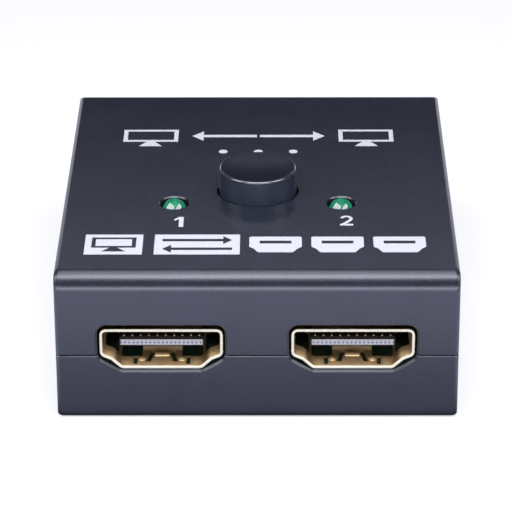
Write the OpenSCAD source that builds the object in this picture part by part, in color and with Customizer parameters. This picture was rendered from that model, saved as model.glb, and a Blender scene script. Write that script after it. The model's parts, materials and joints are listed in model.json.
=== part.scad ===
// Two way digital video switch box. Two sockets in front share one socket behind, and a self locking
// push button on top picks between them. Sizes are in millimetres, +Z is up and the front faces -Y.
// The origin is the middle of the flat underside.

/* [Case] */
// Width of the case across the front
body_w = 48; // [46:1:70]
// Depth of the case from front to back
body_d = 56; // [54:1:80]
// Height of the case without the button
body_h = 19; // [18:0.5:26]
// Thickness of the case walls
wall = 1.5; // [1.2:0.1:2]
// Radius of the upright corners
corner_r = 0.6; // [0.5:0.1:1.5]
// Radius of the top edges in front and behind
top_r = 2.2; // [0.6:0.1:2.6]
// Radius of the bottom edges in front and behind
bottom_r = 0.8; // [0.3:0.1:1.2]
// Radius of the top and bottom edges on the two sides
side_r = 0.6; // [0.2:0.1:0.8]
// Radius of the upright corners inside the case
inner_r = 0.5; // [0.2:0.1:1]
// Gap that shows between the two covers at the parting line
seam_gap = 0.12; // [0.05:0.01:0.3]
// Height of the lip that locates the top cover on the bottom cover
lip_h = 1.2; // [0.6:0.1:2]
// Clearance between the lip and the top cover
lip_gap = 0.1; // [0.05:0.01:0.3]

/* [Screws] */
// Diameter of the screw shank
screw_d = 2; // [1.6:0.1:2.5]
// Length of the screw under its head
screw_l = 9; // [7:0.5:10]
// Diameter of the screw head
screw_head_d = 3.4; // [3:0.1:4]
// Height of the screw head
screw_head_h = 1.2; // [0.8:0.1:1.5]
// Length of the head's cross recess
recess_l = 1.9; // [1.5:0.1:2.2]
// Width of the head's cross recess
recess_w = 0.55; // [0.4:0.05:0.7]
// Depth of the head's cross recess
recess_h = 0.7; // [0.4:0.1:0.7]
// How far the head sits above the underside of the case
screw_sink = 0.5; // [0.3:0.1:1]
// Clearance around the shank in the bottom cover and the board
screw_gap = 0.2; // [0.1:0.05:0.4]
// Clearance around the screw head in its recess
head_gap = 0.3; // [0.2:0.05:0.5]
// Clearance of the screw thread in the top cover
thread_gap = 0.03; // [0.01:0.01:0.05]
// How far a screw's hole runs on past its tip
pilot_gap = 0.3; // [0.1:0.1:0.6]
// Thickness of the material around a screw
post_t = 1.1; // [0.8:0.1:1.4]
// Gap between a screw post and the side wall
post_gap = 0.4; // [0.2:0.1:1]

/* [Board] */
// Height of the board's underside above the underside of the case
board_z = 4.9; // [4.5:0.1:6]
// Thickness of the board
board_t = 1.6; // [1:0.1:2]
// Clearance between the board's edge and the case walls
board_gap = 0.4; // [0.2:0.1:0.8]
// Clearance around a lead or a leg in its hole in the board
hole_gap = 0.15; // [0.1:0.05:0.3]
// How far leads and legs stand out under the board
solder_out = 0.9; // [0.5:0.1:1.4]

/* [Sockets] */
// Distance between the middles of the two front sockets
socket_pitch = 22.8; // [20:0.2:25]
// Width of the socket's opening
socket_w = 14; // [13:0.1:15]
// Height of the socket's opening
socket_h = 4.55; // [4.2:0.05:5]
// Height of the straight sides, from the top of the opening
socket_side_h = 2.95; // [2.5:0.05:3.2]
// How far the shoulder steps in under each straight side
shoulder_w = 1.15; // [0.8:0.05:1.4]
// How far the shoulder falls across its width
shoulder_drop = 0.5; // [0.3:0.05:0.7]
// Width of the opening's floor
socket_floor_w = 9.3; // [8.5:0.1:10.5]
// Radius of the opening's corners
socket_r = 0.45; // [0.2:0.05:0.6]
// Thickness of the sheet metal shell
shell_t = 0.35; // [0.2:0.05:0.5]
// Length of the shell from its mouth to its back
shell_l = 11.5; // [10:0.5:13]
// How far the mouth lies behind the face of the case
mouth_inset = 0.35; // [0.05:0.05:0.5]
// Clearance between the shell and its cut-out in the covers
socket_gap = 0.25; // [0.15:0.05:0.4]
// Length of the insert's block at the back of the shell
insert_l = 3.2; // [2.5:0.1:4]
// Clearance between the insert and the shell
insert_gap = 0.05; // [0.02:0.01:0.1]
// Width of the tongue
tongue_w = 10.1; // [9.8:0.1:11]
// Thickness of the tongue
tongue_t = 1.3; // [1.1:0.1:1.5]
// Distance from the top of the opening to the tongue
tongue_drop = 1.28; // [1.1:0.02:1.4]
// How far the tongue's nose lies behind the mouth
tongue_inset = 1.2; // [0.8:0.1:2]
// Bevel of the tongue's nose
tongue_bevel = 0.3; // [0.1:0.05:0.4]
// Width of a contact
contact_w = 0.24; // [0.18:0.02:0.3]
// Thickness of a contact
contact_t = 0.2; // [0.15:0.01:0.25]
// How far a contact stands proud of the tongue
contact_proud = 0.05; // [0.02:0.01:0.1]
// Distance between neighbouring contacts of one row
contact_pitch = 1; // [0.9:0.05:1.05]
// Number of contacts in the tongue's upper row
upper_contacts = 10; // [6:1:10]
// Number of contacts in the tongue's lower row
lower_contacts = 9; // [5:1:9]
// Length of a contact's foot on the board
contact_foot = 1; // [0.6:0.1:1.4]
// Gap between the insert and the contacts' tails
tail_gap = 0.3; // [0.2:0.05:0.6]
// Width of a shell leg
leg_w = 1.5; // [1:0.1:2]
// Distance from the mouth to the front pair of legs
leg_front = 3.2; // [3:0.1:4]
// Distance from the mouth to the rear pair of legs
leg_rear = 8.6; // [7.5:0.1:9]

/* [Socket stampings] */
// Distance from the middle of the shell's floor to a window
window_x = 2.3; // [2.1:0.1:2.6]
// Width of a window
window_w = 2.6; // [1.2:0.1:2.6]
// How far a window reaches up the shell's slanted side
window_rise = 0.4; // [0.3:0.05:0.6]
// Distance from the mouth to a window
window_y = 3.3; // [3:0.1:4.5]
// Metal left between a window or a finger's slot and the insert
window_end = 0.3; // [0.2:0.1:1]
// Distance from the middle to the straight slot in front of a window
side_slot_x = 2.8; // [2.5:0.1:3.4]
// Distance from the mouth to the straight slots
side_slot_y = 1; // [0.8:0.1:1.6]
// Distance from the mouth to the slanted slots beside the floor's finger
finger_y = 1.2; // [0.8:0.1:1.6]
// Length of the slanted slots
finger_l = 2.8; // [2:0.1:4]
// Width of the slots in the floor
finger_slot = 0.4; // [0.3:0.05:0.5]
// Distance from the middle to a slanted slot's front end
finger_front_x = 1.75; // [1.6:0.05:1.8]
// Distance from the middle to a slanted slot's back end
finger_back_x = 0.85; // [0.7:0.05:1.2]
// Distance from the middle to a finger in the shell's roof
roof_finger_x = 3.4; // [2.6:0.1:4.4]
// Width of a finger in the roof with its slots
roof_finger_w = 1.8; // [1.4:0.1:2.2]
// Distance from the mouth to the fingers in the roof
roof_finger_y = 2.4; // [1.6:0.1:3.2]
// Width of the slots around a finger in the roof
roof_slot = 0.3; // [0.2:0.05:0.4]

/* [Button] */
// Distance from the front of the case to the middle of the button
button_y = 24.4; // [22:0.1:27]
// Diameter of the button where it leaves the case
button_d = 9.7; // [9:0.1:10.5]
// Diameter of the button's top edge
button_top_d = 9.5; // [8.6:0.1:10]
// Height of the button above the case
button_h = 3.1; // [2.3:0.1:4]
// Clearance between the button and its hole
button_gap = 0.2; // [0.15:0.05:0.4]
// Radius of the button's top edge
button_r = 0.2; // [0.1:0.05:0.3]
// Depth of the dish in the button's top
dish = 0.3; // [0.1:0.05:0.4]
// Width of the rim around the dish
dish_rim = 0.4; // [0.3:0.1:1.2]
// Thickness of the button's skirt
skirt_t = 1; // [0.8:0.1:1.2]
// Thickness of the button above its stem
button_roof = 1.1; // [0.9:0.1:1.4]
// Clearance between the button and its stem
stem_fit = 0.03; // [0.02:0.01:0.06]
// Thickness of the collar that grips the stem
collar_t = 0.9; // [0.7:0.1:1.2]

/* [Push switch] */
// Full travel of the button
travel = 2; // [1.6:0.1:2.2]
// Travel at which the latch holds the button down
lock_travel = 1.3; // [1.2:0.05:1.4]
// Width and depth of the switch case
switch_w = 8; // [7.6:0.1:9]
// Thickness of the switch case walls
switch_wall = 0.8; // [0.6:0.05:0.85]
// Thickness of the switch case floor
switch_floor = 0.8; // [0.6:0.1:1.2]
// Thickness of the metal frame over the switch case
frame_t = 0.4; // [0.3:0.05:0.6]
// Width of the frame's two straps
strap_w = 3; // [2:0.1:4]
// Length of the frame's two straps
strap_l = 4; // [2:0.1:5]
// Width of the plunger's block
block_w = 4.4; // [4:0.1:4.6]
// Depth of the plunger's block
block_d = 4.6; // [4.4:0.05:4.7]
// Height of the plunger's block
block_h = 3.8; // [3.4:0.1:4.4]
// Diameter of the plunger's stem
stem_d = 3.8; // [3.6:0.1:4]
// Clearance around the stem where it passes the frame
stem_gap = 0.3; // [0.2:0.05:0.4]
// Clearance left at each end of the plunger's travel
stop_gap = 0.3; // [0.15:0.05:0.5]

/* [Spring] */
// Outer diameter of the return spring
spring_d = 2.3; // [2.1:0.05:2.4]
// Diameter of the spring wire
spring_wire = 0.26; // [0.2:0.02:0.3]
// Number of turns
spring_turns = 7; // [5:1:8]
// Clearance around the spring
spring_gap = 0.25; // [0.15:0.05:0.3]
// Depth of the spring's bore in the plunger
spring_bore = 4.6; // [4:0.1:5.5]
// Height of the pin that centres the spring on the case floor
spigot_h = 1.2; // [0.8:0.1:1.5]
// Clearance at each end of the spring
spring_end = 0.05; // [0.02:0.01:0.1]

/* [Latch] */
// Diameter of the latch wire
latch_d = 0.3; // [0.24:0.02:0.34]
// How far the latch swings to the side at full travel
latch_swing = 0.7; // [0.6:0.02:0.75]
// Clearance around the latch wire in the cam groove and its pivot hole
latch_gap = 0.1; // [0.08:0.01:0.12]
// Height of the pivot above the switch case floor
pivot_up = 0.4; // [0.3:0.05:0.6]
// Height of the cam groove's start above the bottom of the plunger's block
cam_up = 0.7; // [0.5:0.05:0.9]
// Depth of the cam groove
cam_depth = 0.6; // [0.5:0.05:0.65]
// Gap between the plunger and the upright of the latch wire
latch_clear = 0.3; // [0.2:0.05:0.35]

/* [Switch contacts] */
// Thickness of the terminals and of the contact bridges
term_t = 0.2; // [0.15:0.01:0.22]
// Width of a terminal
term_w = 0.8; // [0.6:0.05:1]
// Distance between neighbouring terminals
term_pitch = 2; // [1.8:0.05:2.1]
// Height of a tall terminal above the switch case floor
term_tall = 4.6; // [4:0.1:5]
// Height of a short terminal above the switch case floor
term_short = 1.6; // [1.2:0.1:2.2]
// Clearance around a terminal in the switch case floor
term_fit = 0.05; // [0.03:0.01:0.1]
// Gap between the contact bridges and the terminals
bridge_gap = 0.15; // [0.1:0.01:0.2]
// Width of a contact bridge along the row of terminals
bridge_w = 3.8; // [3.4:0.1:4.2]
// Height of a contact bridge
bridge_h = 2; // [1.6:0.1:2.4]
// Height of a contact bridge's flat crest
crest_h = 0.4; // [0.2:0.1:0.8]
// Distance from the bottom of the plunger's block to the contact bridges
bridge_up = 0.6; // [0.4:0.1:1]

/* [Lamps] */
// Distance between the middles of the two lamps
lamp_pitch = 20.6; // [18:0.2:24]
// Distance from the front of the case to the middles of the lamps
lamp_y = 20.5; // [20:0.5:23]
// Diameter of the lamp's dome
lamp_d = 3; // [2.8:0.1:3.2]
// Length of the lamp from its base to the tip of its dome
lamp_l = 5.3; // [4.8:0.1:5.8]
// Diameter of the lamp's flange
flange_d = 3.8; // [3.6:0.1:4.2]
// Height of the lamp's flange
flange_h = 1; // [0.8:0.1:1.2]
// How far the dome's tip stands above the roof
lamp_proud = 0.5; // [0.3:0.05:0.8]
// Clearance between the dome and its hole
lamp_gap = 0.3; // [0.2:0.05:0.4]
// Bevel of the button's and the lamps' holes
hole_bevel = 0.15; // [0.05:0.05:0.3]
// Width of a lamp lead
lead_w = 0.5; // [0.4:0.05:0.6]
// Distance between the two leads of a lamp
lead_pitch = 2.54; // [2:0.02:2.6]
// How far the leads reach into the lamp
lead_in = 0.8; // [0.5:0.1:1.2]

/* [Chips] */
// Length of the switching chip
chip_w = 8.4; // [8:0.1:10]
// Width of the switching chip
chip_d = 4.4; // [4:0.1:5]
// Thickness of the switching chip
chip_t = 1; // [0.8:0.1:1.2]
// Gap between the chip and the board
chip_gap = 0.1; // [0.05:0.05:0.2]
// Thickness of the chip's leads
chip_lead_t = 0.15; // [0.1:0.01:0.2]
// Width of the chip's leads
chip_lead_w = 0.3; // [0.2:0.02:0.36]
// Distance between neighbouring leads of the chip
chip_lead_pitch = 0.65; // [0.6:0.01:0.65]
// Length of a lead's foot and of its shoulder
chip_foot = 0.5; // [0.3:0.05:0.7]
// Length of a resistor or a capacitor
part_l = 1.6; // [1.2:0.1:2]
// Width of a resistor or a capacitor
part_w = 0.8; // [0.6:0.1:1]
// Height of a resistor
resistor_h = 0.45; // [0.35:0.05:0.6]
// Height of a capacitor
capacitor_h = 0.8; // [0.6:0.05:1]
// Distance between neighbouring resistors and capacitors
part_gap = 1.4; // [1:0.1:2]
// Length of the metal end caps of a resistor or a capacitor
part_cap = 0.3; // [0.2:0.05:0.4]
// How far the end caps stand proud of the part between them
cap_proud = 0.03; // [0.01:0.01:0.05]

/* [Hidden] */
$fn = 64;
// Overlap that keeps cuts and unions clean
eps = 0.01;

// Levels and faces that several pieces share
front_y = -body_d / 2;
inner_w = body_w - 2 * wall;
inner_d = body_d - 2 * wall;
board_top = board_z + board_t;
board_w = inner_w - 2 * board_gap;
board_d = inner_d - 2 * board_gap;
socket_z = board_top + shell_t;
parting_z = socket_z + socket_h - socket_side_h;
lip_t = (wall - lip_gap) / 2;

// Screw places: one pair behind the front sockets, one pair in the rear corners
head_r = screw_head_d / 2 + head_gap;
post_r = head_r + post_t;
boss_r = screw_d / 2 + post_t;
screw_seat = screw_sink + screw_head_h;
screw_x = inner_w / 2 - post_gap - post_r;
screw_rear_y = inner_d / 2 - post_gap - post_r;
tail_y = shell_l + tail_gap + contact_t;
socket_back = mouth_inset + tail_y + contact_foot;
screw_front_y = front_y + socket_back + post_gap + post_r;
screw_places = [for (x = [-screw_x, screw_x], y = [screw_front_y, screw_rear_y]) [x, y]];

// Socket places as [middle, turn about Z]: two in front and the common one behind
socket_places = [[-socket_pitch / 2, 0], [socket_pitch / 2, 0], [0, 180]];
insert_y = shell_l - insert_l;
tongue_top = socket_h - tongue_drop;
tongue_z = tongue_top - tongue_t;
window_back = insert_y - window_end;

// Heights inside the push switch, from the board up
switch_y = front_y + button_y;
block_z = switch_floor + stop_gap + travel;
case_h = block_z + block_h + stop_gap;
frame_top = case_h + frame_t;
cap_z = board_top + frame_top + travel + stop_gap;
cap_top = body_h + button_h;
stem_top = cap_top - button_roof;
bore_r = spring_d / 2 + spring_gap;
spring_z = switch_floor + spring_end;
spring_h = block_z + spring_bore - spring_end - spring_z;
coil_r = (spring_d - spring_wire) / 2;
spigot_r = coil_r - spring_wire / 2 - spring_gap;

// Latch wire: it stands on its pivot, and its upper end rides in the plunger's cam groove
pivot_z = switch_floor + pivot_up;
pin_z = block_z + cam_up;
latch_l = pin_z - pivot_z;
latch_angle = asin(latch_swing / latch_l);
latch_fall = latch_l * (1 - cos(latch_angle));
latch_y = block_d / 2 + latch_clear + latch_d / 2;
cam_depth_pin = cam_depth - latch_gap;

// Terminals stand against the inner faces of the switch case
term_x = switch_w / 2 - switch_wall - term_t;
term_tops = [term_short, term_tall, term_tall];
term_passages = [eps, eps, eps];

// Lamps
lamp_front_y = front_y + lamp_y;
lamp_base = body_h + lamp_proud - lamp_l;

// The chip lies midway between the push switch and the tails of the rear socket
chip_y = (switch_y + switch_w / 2 + frame_t + body_d / 2 - socket_back) / 2;

case_colour = [0.25, 0.265, 0.31];
black_colour = [0.09, 0.09, 0.1];
gold_colour = [0.86, 0.72, 0.42];
steel_colour = [0.75, 0.75, 0.77];
board_colour = [0.05, 0.3, 0.17];
green_colour = [0.15, 0.65, 0.4];
ceramic_colour = [0.66, 0.55, 0.42];

// Points of an arc that rounds the corner at b, coming from a and going on to c
function unit(v) = v / norm(v);
function turned(v, angle) =
  [v[0] * cos(angle) - v[1] * sin(angle), v[0] * sin(angle) + v[1] * cos(angle)];
function corner_arc(a, b, c, r, steps) =
  let (
    u = unit(b - a),
    v = unit(c - b),
    turn = atan2(cross(u, v), u * v),
    start = b - u * r * tan(abs(turn) / 2),
    middle = start + turned(u, sign(turn) * 90) * r
  )
  [for (i = [0:steps]) middle + turned(start - middle, turn * i / steps)];

// An anticlockwise outline moved outwards by g along the normals of its edges
function outward(a, b) = let (u = unit(b - a)) [u[1], -u[0]];
function moved_corner(a, b, c, g) =
  let (n = outward(a, b), m = outward(b, c))
  b + g * (n + m) / (1 + n * m);
function before(p, i) = p[(i + len(p) - 1) % len(p)];
function after(p, i) = p[(i + 1) % len(p)];
function grown(p, g) =
  [for (i = [0:len(p) - 1]) moved_corner(before(p, i), p[i], after(p, i), g)];

// The same outline with its outer corners rounded by r_out and its inner ones by r_in
function rounded(p, r_out, r_in, steps) =
  [for (i = [0:len(p) - 1])
    let (a = before(p, i), b = p[i], c = after(p, i))
    each corner_arc(a, b, c, cross(b - a, c - b) > 0 ? r_out : r_in, steps)];

// The socket's opening from the middle of its floor, wide side up, grown by g
function mirrored(p) = [for (i = [len(p) - 1:-1:0]) [-p[i][0], p[i][1]]];
socket_right = [
  [socket_floor_w / 2, 0],
  [socket_w / 2 - shoulder_w, socket_h - socket_side_h - shoulder_drop],
  [socket_w / 2, socket_h - socket_side_h],
  [socket_w / 2, socket_h]
];
socket_corners = concat(socket_right, mirrored(socket_right));
corner_steps = 4;
function socket_shape(g) =
  rounded(grown(socket_corners, g), socket_r + g, max(socket_r - g, eps), corner_steps);

// A flat shape in X and Z carried back along +Y, and one in Y and Z carried to both sides along X
module along_y(l) {
  translate([0, l, 0]) rotate([90, 0, 0]) linear_extrude(l) children();
}

module along_x(l) {
  rotate([90, 0, 90]) linear_extrude(l, center = true) children();
}

// A box from its lowest corner to its highest one
module block(low, high) {
  translate(low) cube(high - low);
}

// Rectangle with round corners
module plan(w, d, r) {
  square([w - 2 * r, d], center = true);
  square([w, d - 2 * r], center = true);
  for (x = [-1, 1], y = [-1, 1]) translate([x * (w / 2 - r), y * (d / 2 - r)]) circle(r);
}

// Outline of the case from one side, w wide, with round top and bottom edges
module side_outline(w, upper_r, lower_r) {
  for (side = [-1, 1]) {
    translate([side * (w / 2 - upper_r), body_h - upper_r]) circle(upper_r);
    translate([side * (w / 2 - lower_r), lower_r]) circle(lower_r);
  }
  translate([-w / 2, lower_r]) square([w, body_h - upper_r - lower_r]);
  translate([upper_r - w / 2, lower_r]) square([w - 2 * upper_r, body_h - lower_r]);
  translate([lower_r - w / 2, 0]) square([w - 2 * lower_r, body_h - upper_r]);
}

// Solid case between two levels
module case_solid(low, high) {
  intersection() {
    translate([0, 0, low]) linear_extrude(high - low) plan(body_w, body_d, corner_r);
    translate([0, -body_d, 0]) along_y(2 * body_d) side_outline(body_w, side_r, side_r);
    along_x(2 * body_w) side_outline(body_d, top_r, bottom_r);
  }
}

// Prism with the plan of the space inside the walls, grown by g
module inner_space(low, high, g) {
  translate([0, 0, low]) linear_extrude(high - low) plan(inner_w + 2 * g, inner_d + 2 * g, inner_r + g);
}

// Children in a socket's own frame: its mouth at y = 0, its floor at z = 0, its depth along +Y
module at_socket(place) {
  rotate([0, 0, place[1]]) translate([place[0], front_y + mouth_inset, socket_z]) children();
}

module socket_cutouts() {
  for (place = socket_places) at_socket(place)
    translate([0, -mouth_inset - eps, 0])
      along_y(wall + 2 * eps) polygon(socket_shape(shell_t + socket_gap));
}

module at_screws() {
  for (place = screw_places) translate([place[0], place[1], 0]) children();
}

// Round hole through the roof with a bevelled upper edge
module roof_hole(r) {
  translate([0, 0, body_h - wall - eps]) cylinder(r = r, h = wall + 2 * eps);
  translate([0, 0, body_h - hole_bevel]) cylinder(r1 = r, r2 = r + hole_bevel + eps, h = hole_bevel + eps);
}

module top_cover() {
  low = parting_z + seam_gap / 2;
  color(case_colour) difference() {
    union() {
      difference() {
        case_solid(low, body_h);
        inner_space(low - eps, body_h - wall, 0);
        inner_space(low - eps, parting_z + lip_h, lip_t + lip_gap);
      }
      at_screws() block_post(boss_r, board_top, body_h - wall + eps);
    }
    at_screws() block_post(screw_d / 2 + thread_gap, board_top - eps, screw_seat + screw_l + pilot_gap);
    translate([0, switch_y, 0]) roof_hole(button_d / 2 + button_gap);
    for (side = [-1, 1]) at_lamp(side) roof_hole(lamp_d / 2 + lamp_gap);
    socket_cutouts();
  }
}

// Upright round post from one level to another
module block_post(r, low, high) {
  translate([0, 0, low]) cylinder(r = r, h = high - low);
}

module bottom_cover() {
  color(case_colour) difference() {
    union() {
      difference() {
        union() {
          case_solid(0, parting_z - seam_gap / 2);
          inner_space(bottom_r, parting_z + lip_h, lip_t);
        }
        inner_space(wall, parting_z + lip_h + eps, 0);
      }
      at_screws() block_post(post_r, wall - eps, board_z);
    }
    at_screws() block_post(head_r, -eps, screw_seat);
    at_screws() block_post(screw_d / 2 + screw_gap, 0, board_z + eps);
    socket_cutouts();
  }
}

// Pan head screw with a cross recess
module screw() {
  difference() {
    union() {
      block_post(screw_head_d / 2, screw_sink, screw_seat);
      block_post(screw_d / 2, screw_seat - eps, screw_seat + screw_l);
    }
    for (turn = [0, 90]) rotate([0, 0, turn]) block(
      [-recess_l / 2, -recess_w / 2, screw_sink - eps],
      [recess_l / 2, recess_w / 2, screw_sink + recess_h]
    );
  }
}

module cover_screws() {
  color(steel_colour) at_screws() screw();
}

module main_board() {
  color(board_colour) difference() {
    translate([0, 0, board_z]) linear_extrude(board_t) plan(board_w, board_d, inner_r);
    at_screws() block_post(screw_d / 2 + screw_gap, board_z - eps, board_top + eps);
    for (place = socket_places) at_socket(place) shell_legs(hole_gap);
    at_switch() terminal_set(hole_gap, term_passages);
    for (side = [-1, 1]) at_lamp(side) lead_holes();
  }
}

module socket_shell(i) {
  color(gold_colour) at_socket(socket_places[i]) difference() {
    union() {
      along_y(shell_l) polygon(socket_shape(shell_t));
      shell_legs(0);
    }
    translate([0, -eps, 0]) along_y(shell_l + 2 * eps) polygon(socket_shape(0));
    for (side = [0, 1]) mirror([side, 0, 0]) {
      floor_openings();
      roof_finger();
    }
  }
}

// Four legs in the plane of the shell's sides, down through the board
module shell_legs(g) {
  low = -shell_t - board_t - solder_out - g;
  high = socket_h - socket_side_h + socket_r;
  near = socket_w / 2;
  for (side = [0, 1], y = [leg_front, leg_rear]) mirror([side, 0, 0])
    block([near - g, y - g, low], [near + shell_t + g, y + leg_w + g, high]);
}

// Window beside the spring finger, and the slots that free the finger on both its sides
module floor_openings() {
  translate([0, 0, -shell_t - eps]) linear_extrude(shell_t + eps + window_rise) {
    translate([window_x, window_y]) square([window_w, window_back - window_y]);
    translate([side_slot_x, side_slot_y]) square([finger_slot, window_y + eps - side_slot_y]);
    polygon([
      [finger_front_x - finger_slot / 2, finger_y],
      [finger_front_x + finger_slot / 2, finger_y],
      [finger_back_x + finger_slot / 2, finger_y + finger_l],
      [finger_back_x - finger_slot / 2, finger_y + finger_l]
    ]);
  }
}

// Slot that frees a spring finger in the shell's roof on its front and both sides
module roof_finger() {
  low = socket_h - eps;
  high = socket_h + shell_t + eps;
  near = roof_finger_x - roof_finger_w / 2;
  far = roof_finger_x + roof_finger_w / 2;
  block([near, roof_finger_y, low], [far, roof_finger_y + roof_slot, high]);
  for (x = [near, far - roof_slot]) block([x, roof_finger_y, low], [x + roof_slot, window_back, high]);
}

module socket_insert(i) {
  color(black_colour) at_socket(socket_places[i]) difference() {
    union() {
      translate([0, insert_y, 0]) along_y(insert_l) polygon(socket_shape(-insert_gap));
      along_x(tongue_w) polygon([
        [tongue_inset + tongue_bevel, tongue_z], [insert_y + eps, tongue_z], [insert_y + eps, tongue_top],
        [tongue_inset + tongue_bevel, tongue_top], [tongue_inset, tongue_top - tongue_bevel],
        [tongue_inset, tongue_z + tongue_bevel]
      ]);
    }
    contact_rows();
  }
}

// A contact lies along the tongue, leaves the insert's back, drops to the board and ends in a foot
module contact(z) {
  start = tongue_inset + 2 * tongue_bevel;
  foot = -shell_t;
  along_x(contact_w) polygon([
    [start, z], [tail_y - contact_t, z], [tail_y - contact_t, foot], [tail_y + contact_foot, foot],
    [tail_y + contact_foot, foot + contact_t], [tail_y, foot + contact_t], [tail_y, z + contact_t],
    [start, z + contact_t]
  ]);
}

module contact_row(count, z) {
  for (i = [0:count - 1]) translate([(i - (count - 1) / 2) * contact_pitch, 0, 0]) contact(z);
}

module contact_rows() {
  contact_row(upper_contacts, tongue_top + contact_proud - contact_t);
  contact_row(lower_contacts, tongue_z - contact_proud);
}

module socket_contacts(i) {
  color(gold_colour) at_socket(socket_places[i]) contact_rows();
}

// Children in the push switch's frame: its middle at the origin, the board's top at z = 0
module at_switch() {
  translate([0, switch_y, board_top]) children();
}

module switch_case() {
  inner = switch_w / 2 - switch_wall;
  half = switch_w / 2;
  color(black_colour) at_switch() difference() {
    union() {
      difference() {
        block([-half, -half, 0], [half, half, case_h]);
        block([-inner, -inner, switch_floor], [inner, inner, case_h + eps]);
      }
      block_post(spigot_r, switch_floor - eps, switch_floor + spigot_h);
    }
    terminal_set(term_fit, term_passages);
    translate([0, inner - eps, pivot_z]) rotate([-90, 0, 0])
      cylinder(d = latch_d + 2 * latch_gap, h = switch_wall + 2 * eps);
  }
}

module switch_frame() {
  half = switch_w / 2;
  color(steel_colour) at_switch() difference() {
    union() {
      block([-half, -half - frame_t, case_h], [half, half + frame_t, frame_top]);
      for (side = [0, 1]) mirror([0, side, 0])
        block([-strap_w / 2, half, case_h - strap_l], [strap_w / 2, half + frame_t, case_h + eps]);
    }
    block_post(stem_d / 2 + stem_gap, case_h - eps, frame_top + eps);
  }
}

module switch_plunger() {
  color(black_colour) at_switch() difference() {
    union() {
      block([-block_w / 2, -block_d / 2, block_z], [block_w / 2, block_d / 2, block_z + block_h]);
      block_post(stem_d / 2, block_z + block_h - eps, stem_top - board_top);
    }
    block_post(bore_r, block_z - eps, block_z + spring_bore);
    translate([0, block_d / 2 - cam_depth, pin_z]) along_y(cam_depth + eps) cam_groove();
  }
}

// Straight lane of the cam groove between two points
module cam_lane(a, b) {
  w = latch_d + 2 * latch_gap;
  d = b - a;
  translate(a) rotate(atan2(d[1], d[0])) translate([0, -w / 2]) square([norm(d), w]);
  for (p = [a, b]) translate(p) circle(d = w);
}

// Heart shaped loop: press along one flank, rest in the notch, press again and return by the other flank
module cam_groove() {
  start = [0, 0];
  pressed = [latch_swing, travel - latch_fall];
  notch = [0, lock_travel];
  released = [-latch_swing, travel - latch_fall];
  cam_lane(start, pressed);
  cam_lane(pressed, notch);
  cam_lane(notch, released);
  cam_lane(released, start);
}

// Wire with a pivot leg in the case wall, an upright, and a pin leg in the cam groove
module latch_wire() {
  pivot_end = switch_w / 2 - latch_gap;
  pin_end = block_d / 2 - cam_depth_pin;
  color(steel_colour) at_switch() {
    translate([0, latch_y, pivot_z]) cylinder(d = latch_d, h = latch_l);
    for (z = [pivot_z, pin_z]) translate([0, latch_y, z]) sphere(d = latch_d);
    translate([0, latch_y, pivot_z]) rotate([-90, 0, 0]) cylinder(d = latch_d, h = pivot_end - latch_y);
    translate([0, pin_end, pin_z]) rotate([-90, 0, 0]) cylinder(d = latch_d, h = latch_y - pin_end);
  }
}

// Bowed strip on each side of the plunger, with its crest facing the terminals
module contact_bridges() {
  low = block_z + bridge_up;
  high = low + bridge_h;
  base = block_w / 2;
  crest = term_x - bridge_gap;
  color(gold_colour) at_switch() for (side = [0, 1]) mirror([side, 0, 0])
    translate([0, -bridge_w / 2, 0]) along_y(bridge_w) polygon([
      [base, low], [base + term_t, low], [crest, (low + high - crest_h) / 2],
      [crest, (low + high + crest_h) / 2], [base + term_t, high], [base, high]
    ]);
}

// The six terminals grown by g, up to their given heights above the switch case floor
module terminal_set(g, tops) {
  low = -board_t - solder_out - g;
  for (side = [0, 1], i = [0:2]) mirror([side, 0, 0]) translate([0, (i - 1) * term_pitch, 0]) block(
    [term_x - g, -term_w / 2 - g, low],
    [term_x + term_t + g, term_w / 2 + g, switch_floor + tops[i]]
  );
}

module switch_terminals() {
  color(gold_colour) at_switch() terminal_set(0, term_tops);
}

// Return spring: one tube swept along a helix, with rings of six points
spring_sides = 6;
spring_steps = 8;
spring_rings = spring_turns * spring_steps;
function spring_point(i) =
  let (rise = spring_h - spring_wire)
  [
    coil_r * cos(360 * i / spring_steps),
    coil_r * sin(360 * i / spring_steps),
    spring_z + spring_wire / 2 + rise * i / spring_rings
  ];
function spring_ring(i) =
  let (
    a = 360 * i / spring_steps,
    slope = atan2(spring_h - spring_wire, 2 * PI * coil_r * spring_turns),
    out = [cos(a), sin(a), 0],
    up = [sin(a) * sin(slope), -cos(a) * sin(slope), cos(slope)]
  )
  [for (k = [0:spring_sides - 1])
    let (b = 360 * k / spring_sides)
    spring_point(i) + spring_wire / 2 * (cos(b) * out + sin(b) * up)];
spring_points = [for (i = [0:spring_rings]) each spring_ring(i)];
spring_walls = [
  for (i = [0:spring_rings - 1], k = [0:spring_sides - 1])
    let (a = i * spring_sides + k, b = i * spring_sides + (k + 1) % spring_sides)
    each [[a, b, b + spring_sides], [a, b + spring_sides, a + spring_sides]]
];
spring_ends = [
  for (k = [1:spring_sides - 2])
    each [[0, k + 1, k], spring_rings * spring_sides * [1, 1, 1] + [0, k, k + 1]]
];
spring_least_gap = min([
  for (i = [0:spring_rings], j = [i + spring_steps / 2:1:spring_rings])
    norm(spring_point(i) - spring_point(j)) - spring_wire
]);
echo(spring_least_gap = spring_least_gap);

module switch_spring() {
  color(steel_colour) at_switch() polyhedron(spring_points, concat(spring_walls, spring_ends));
}

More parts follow.
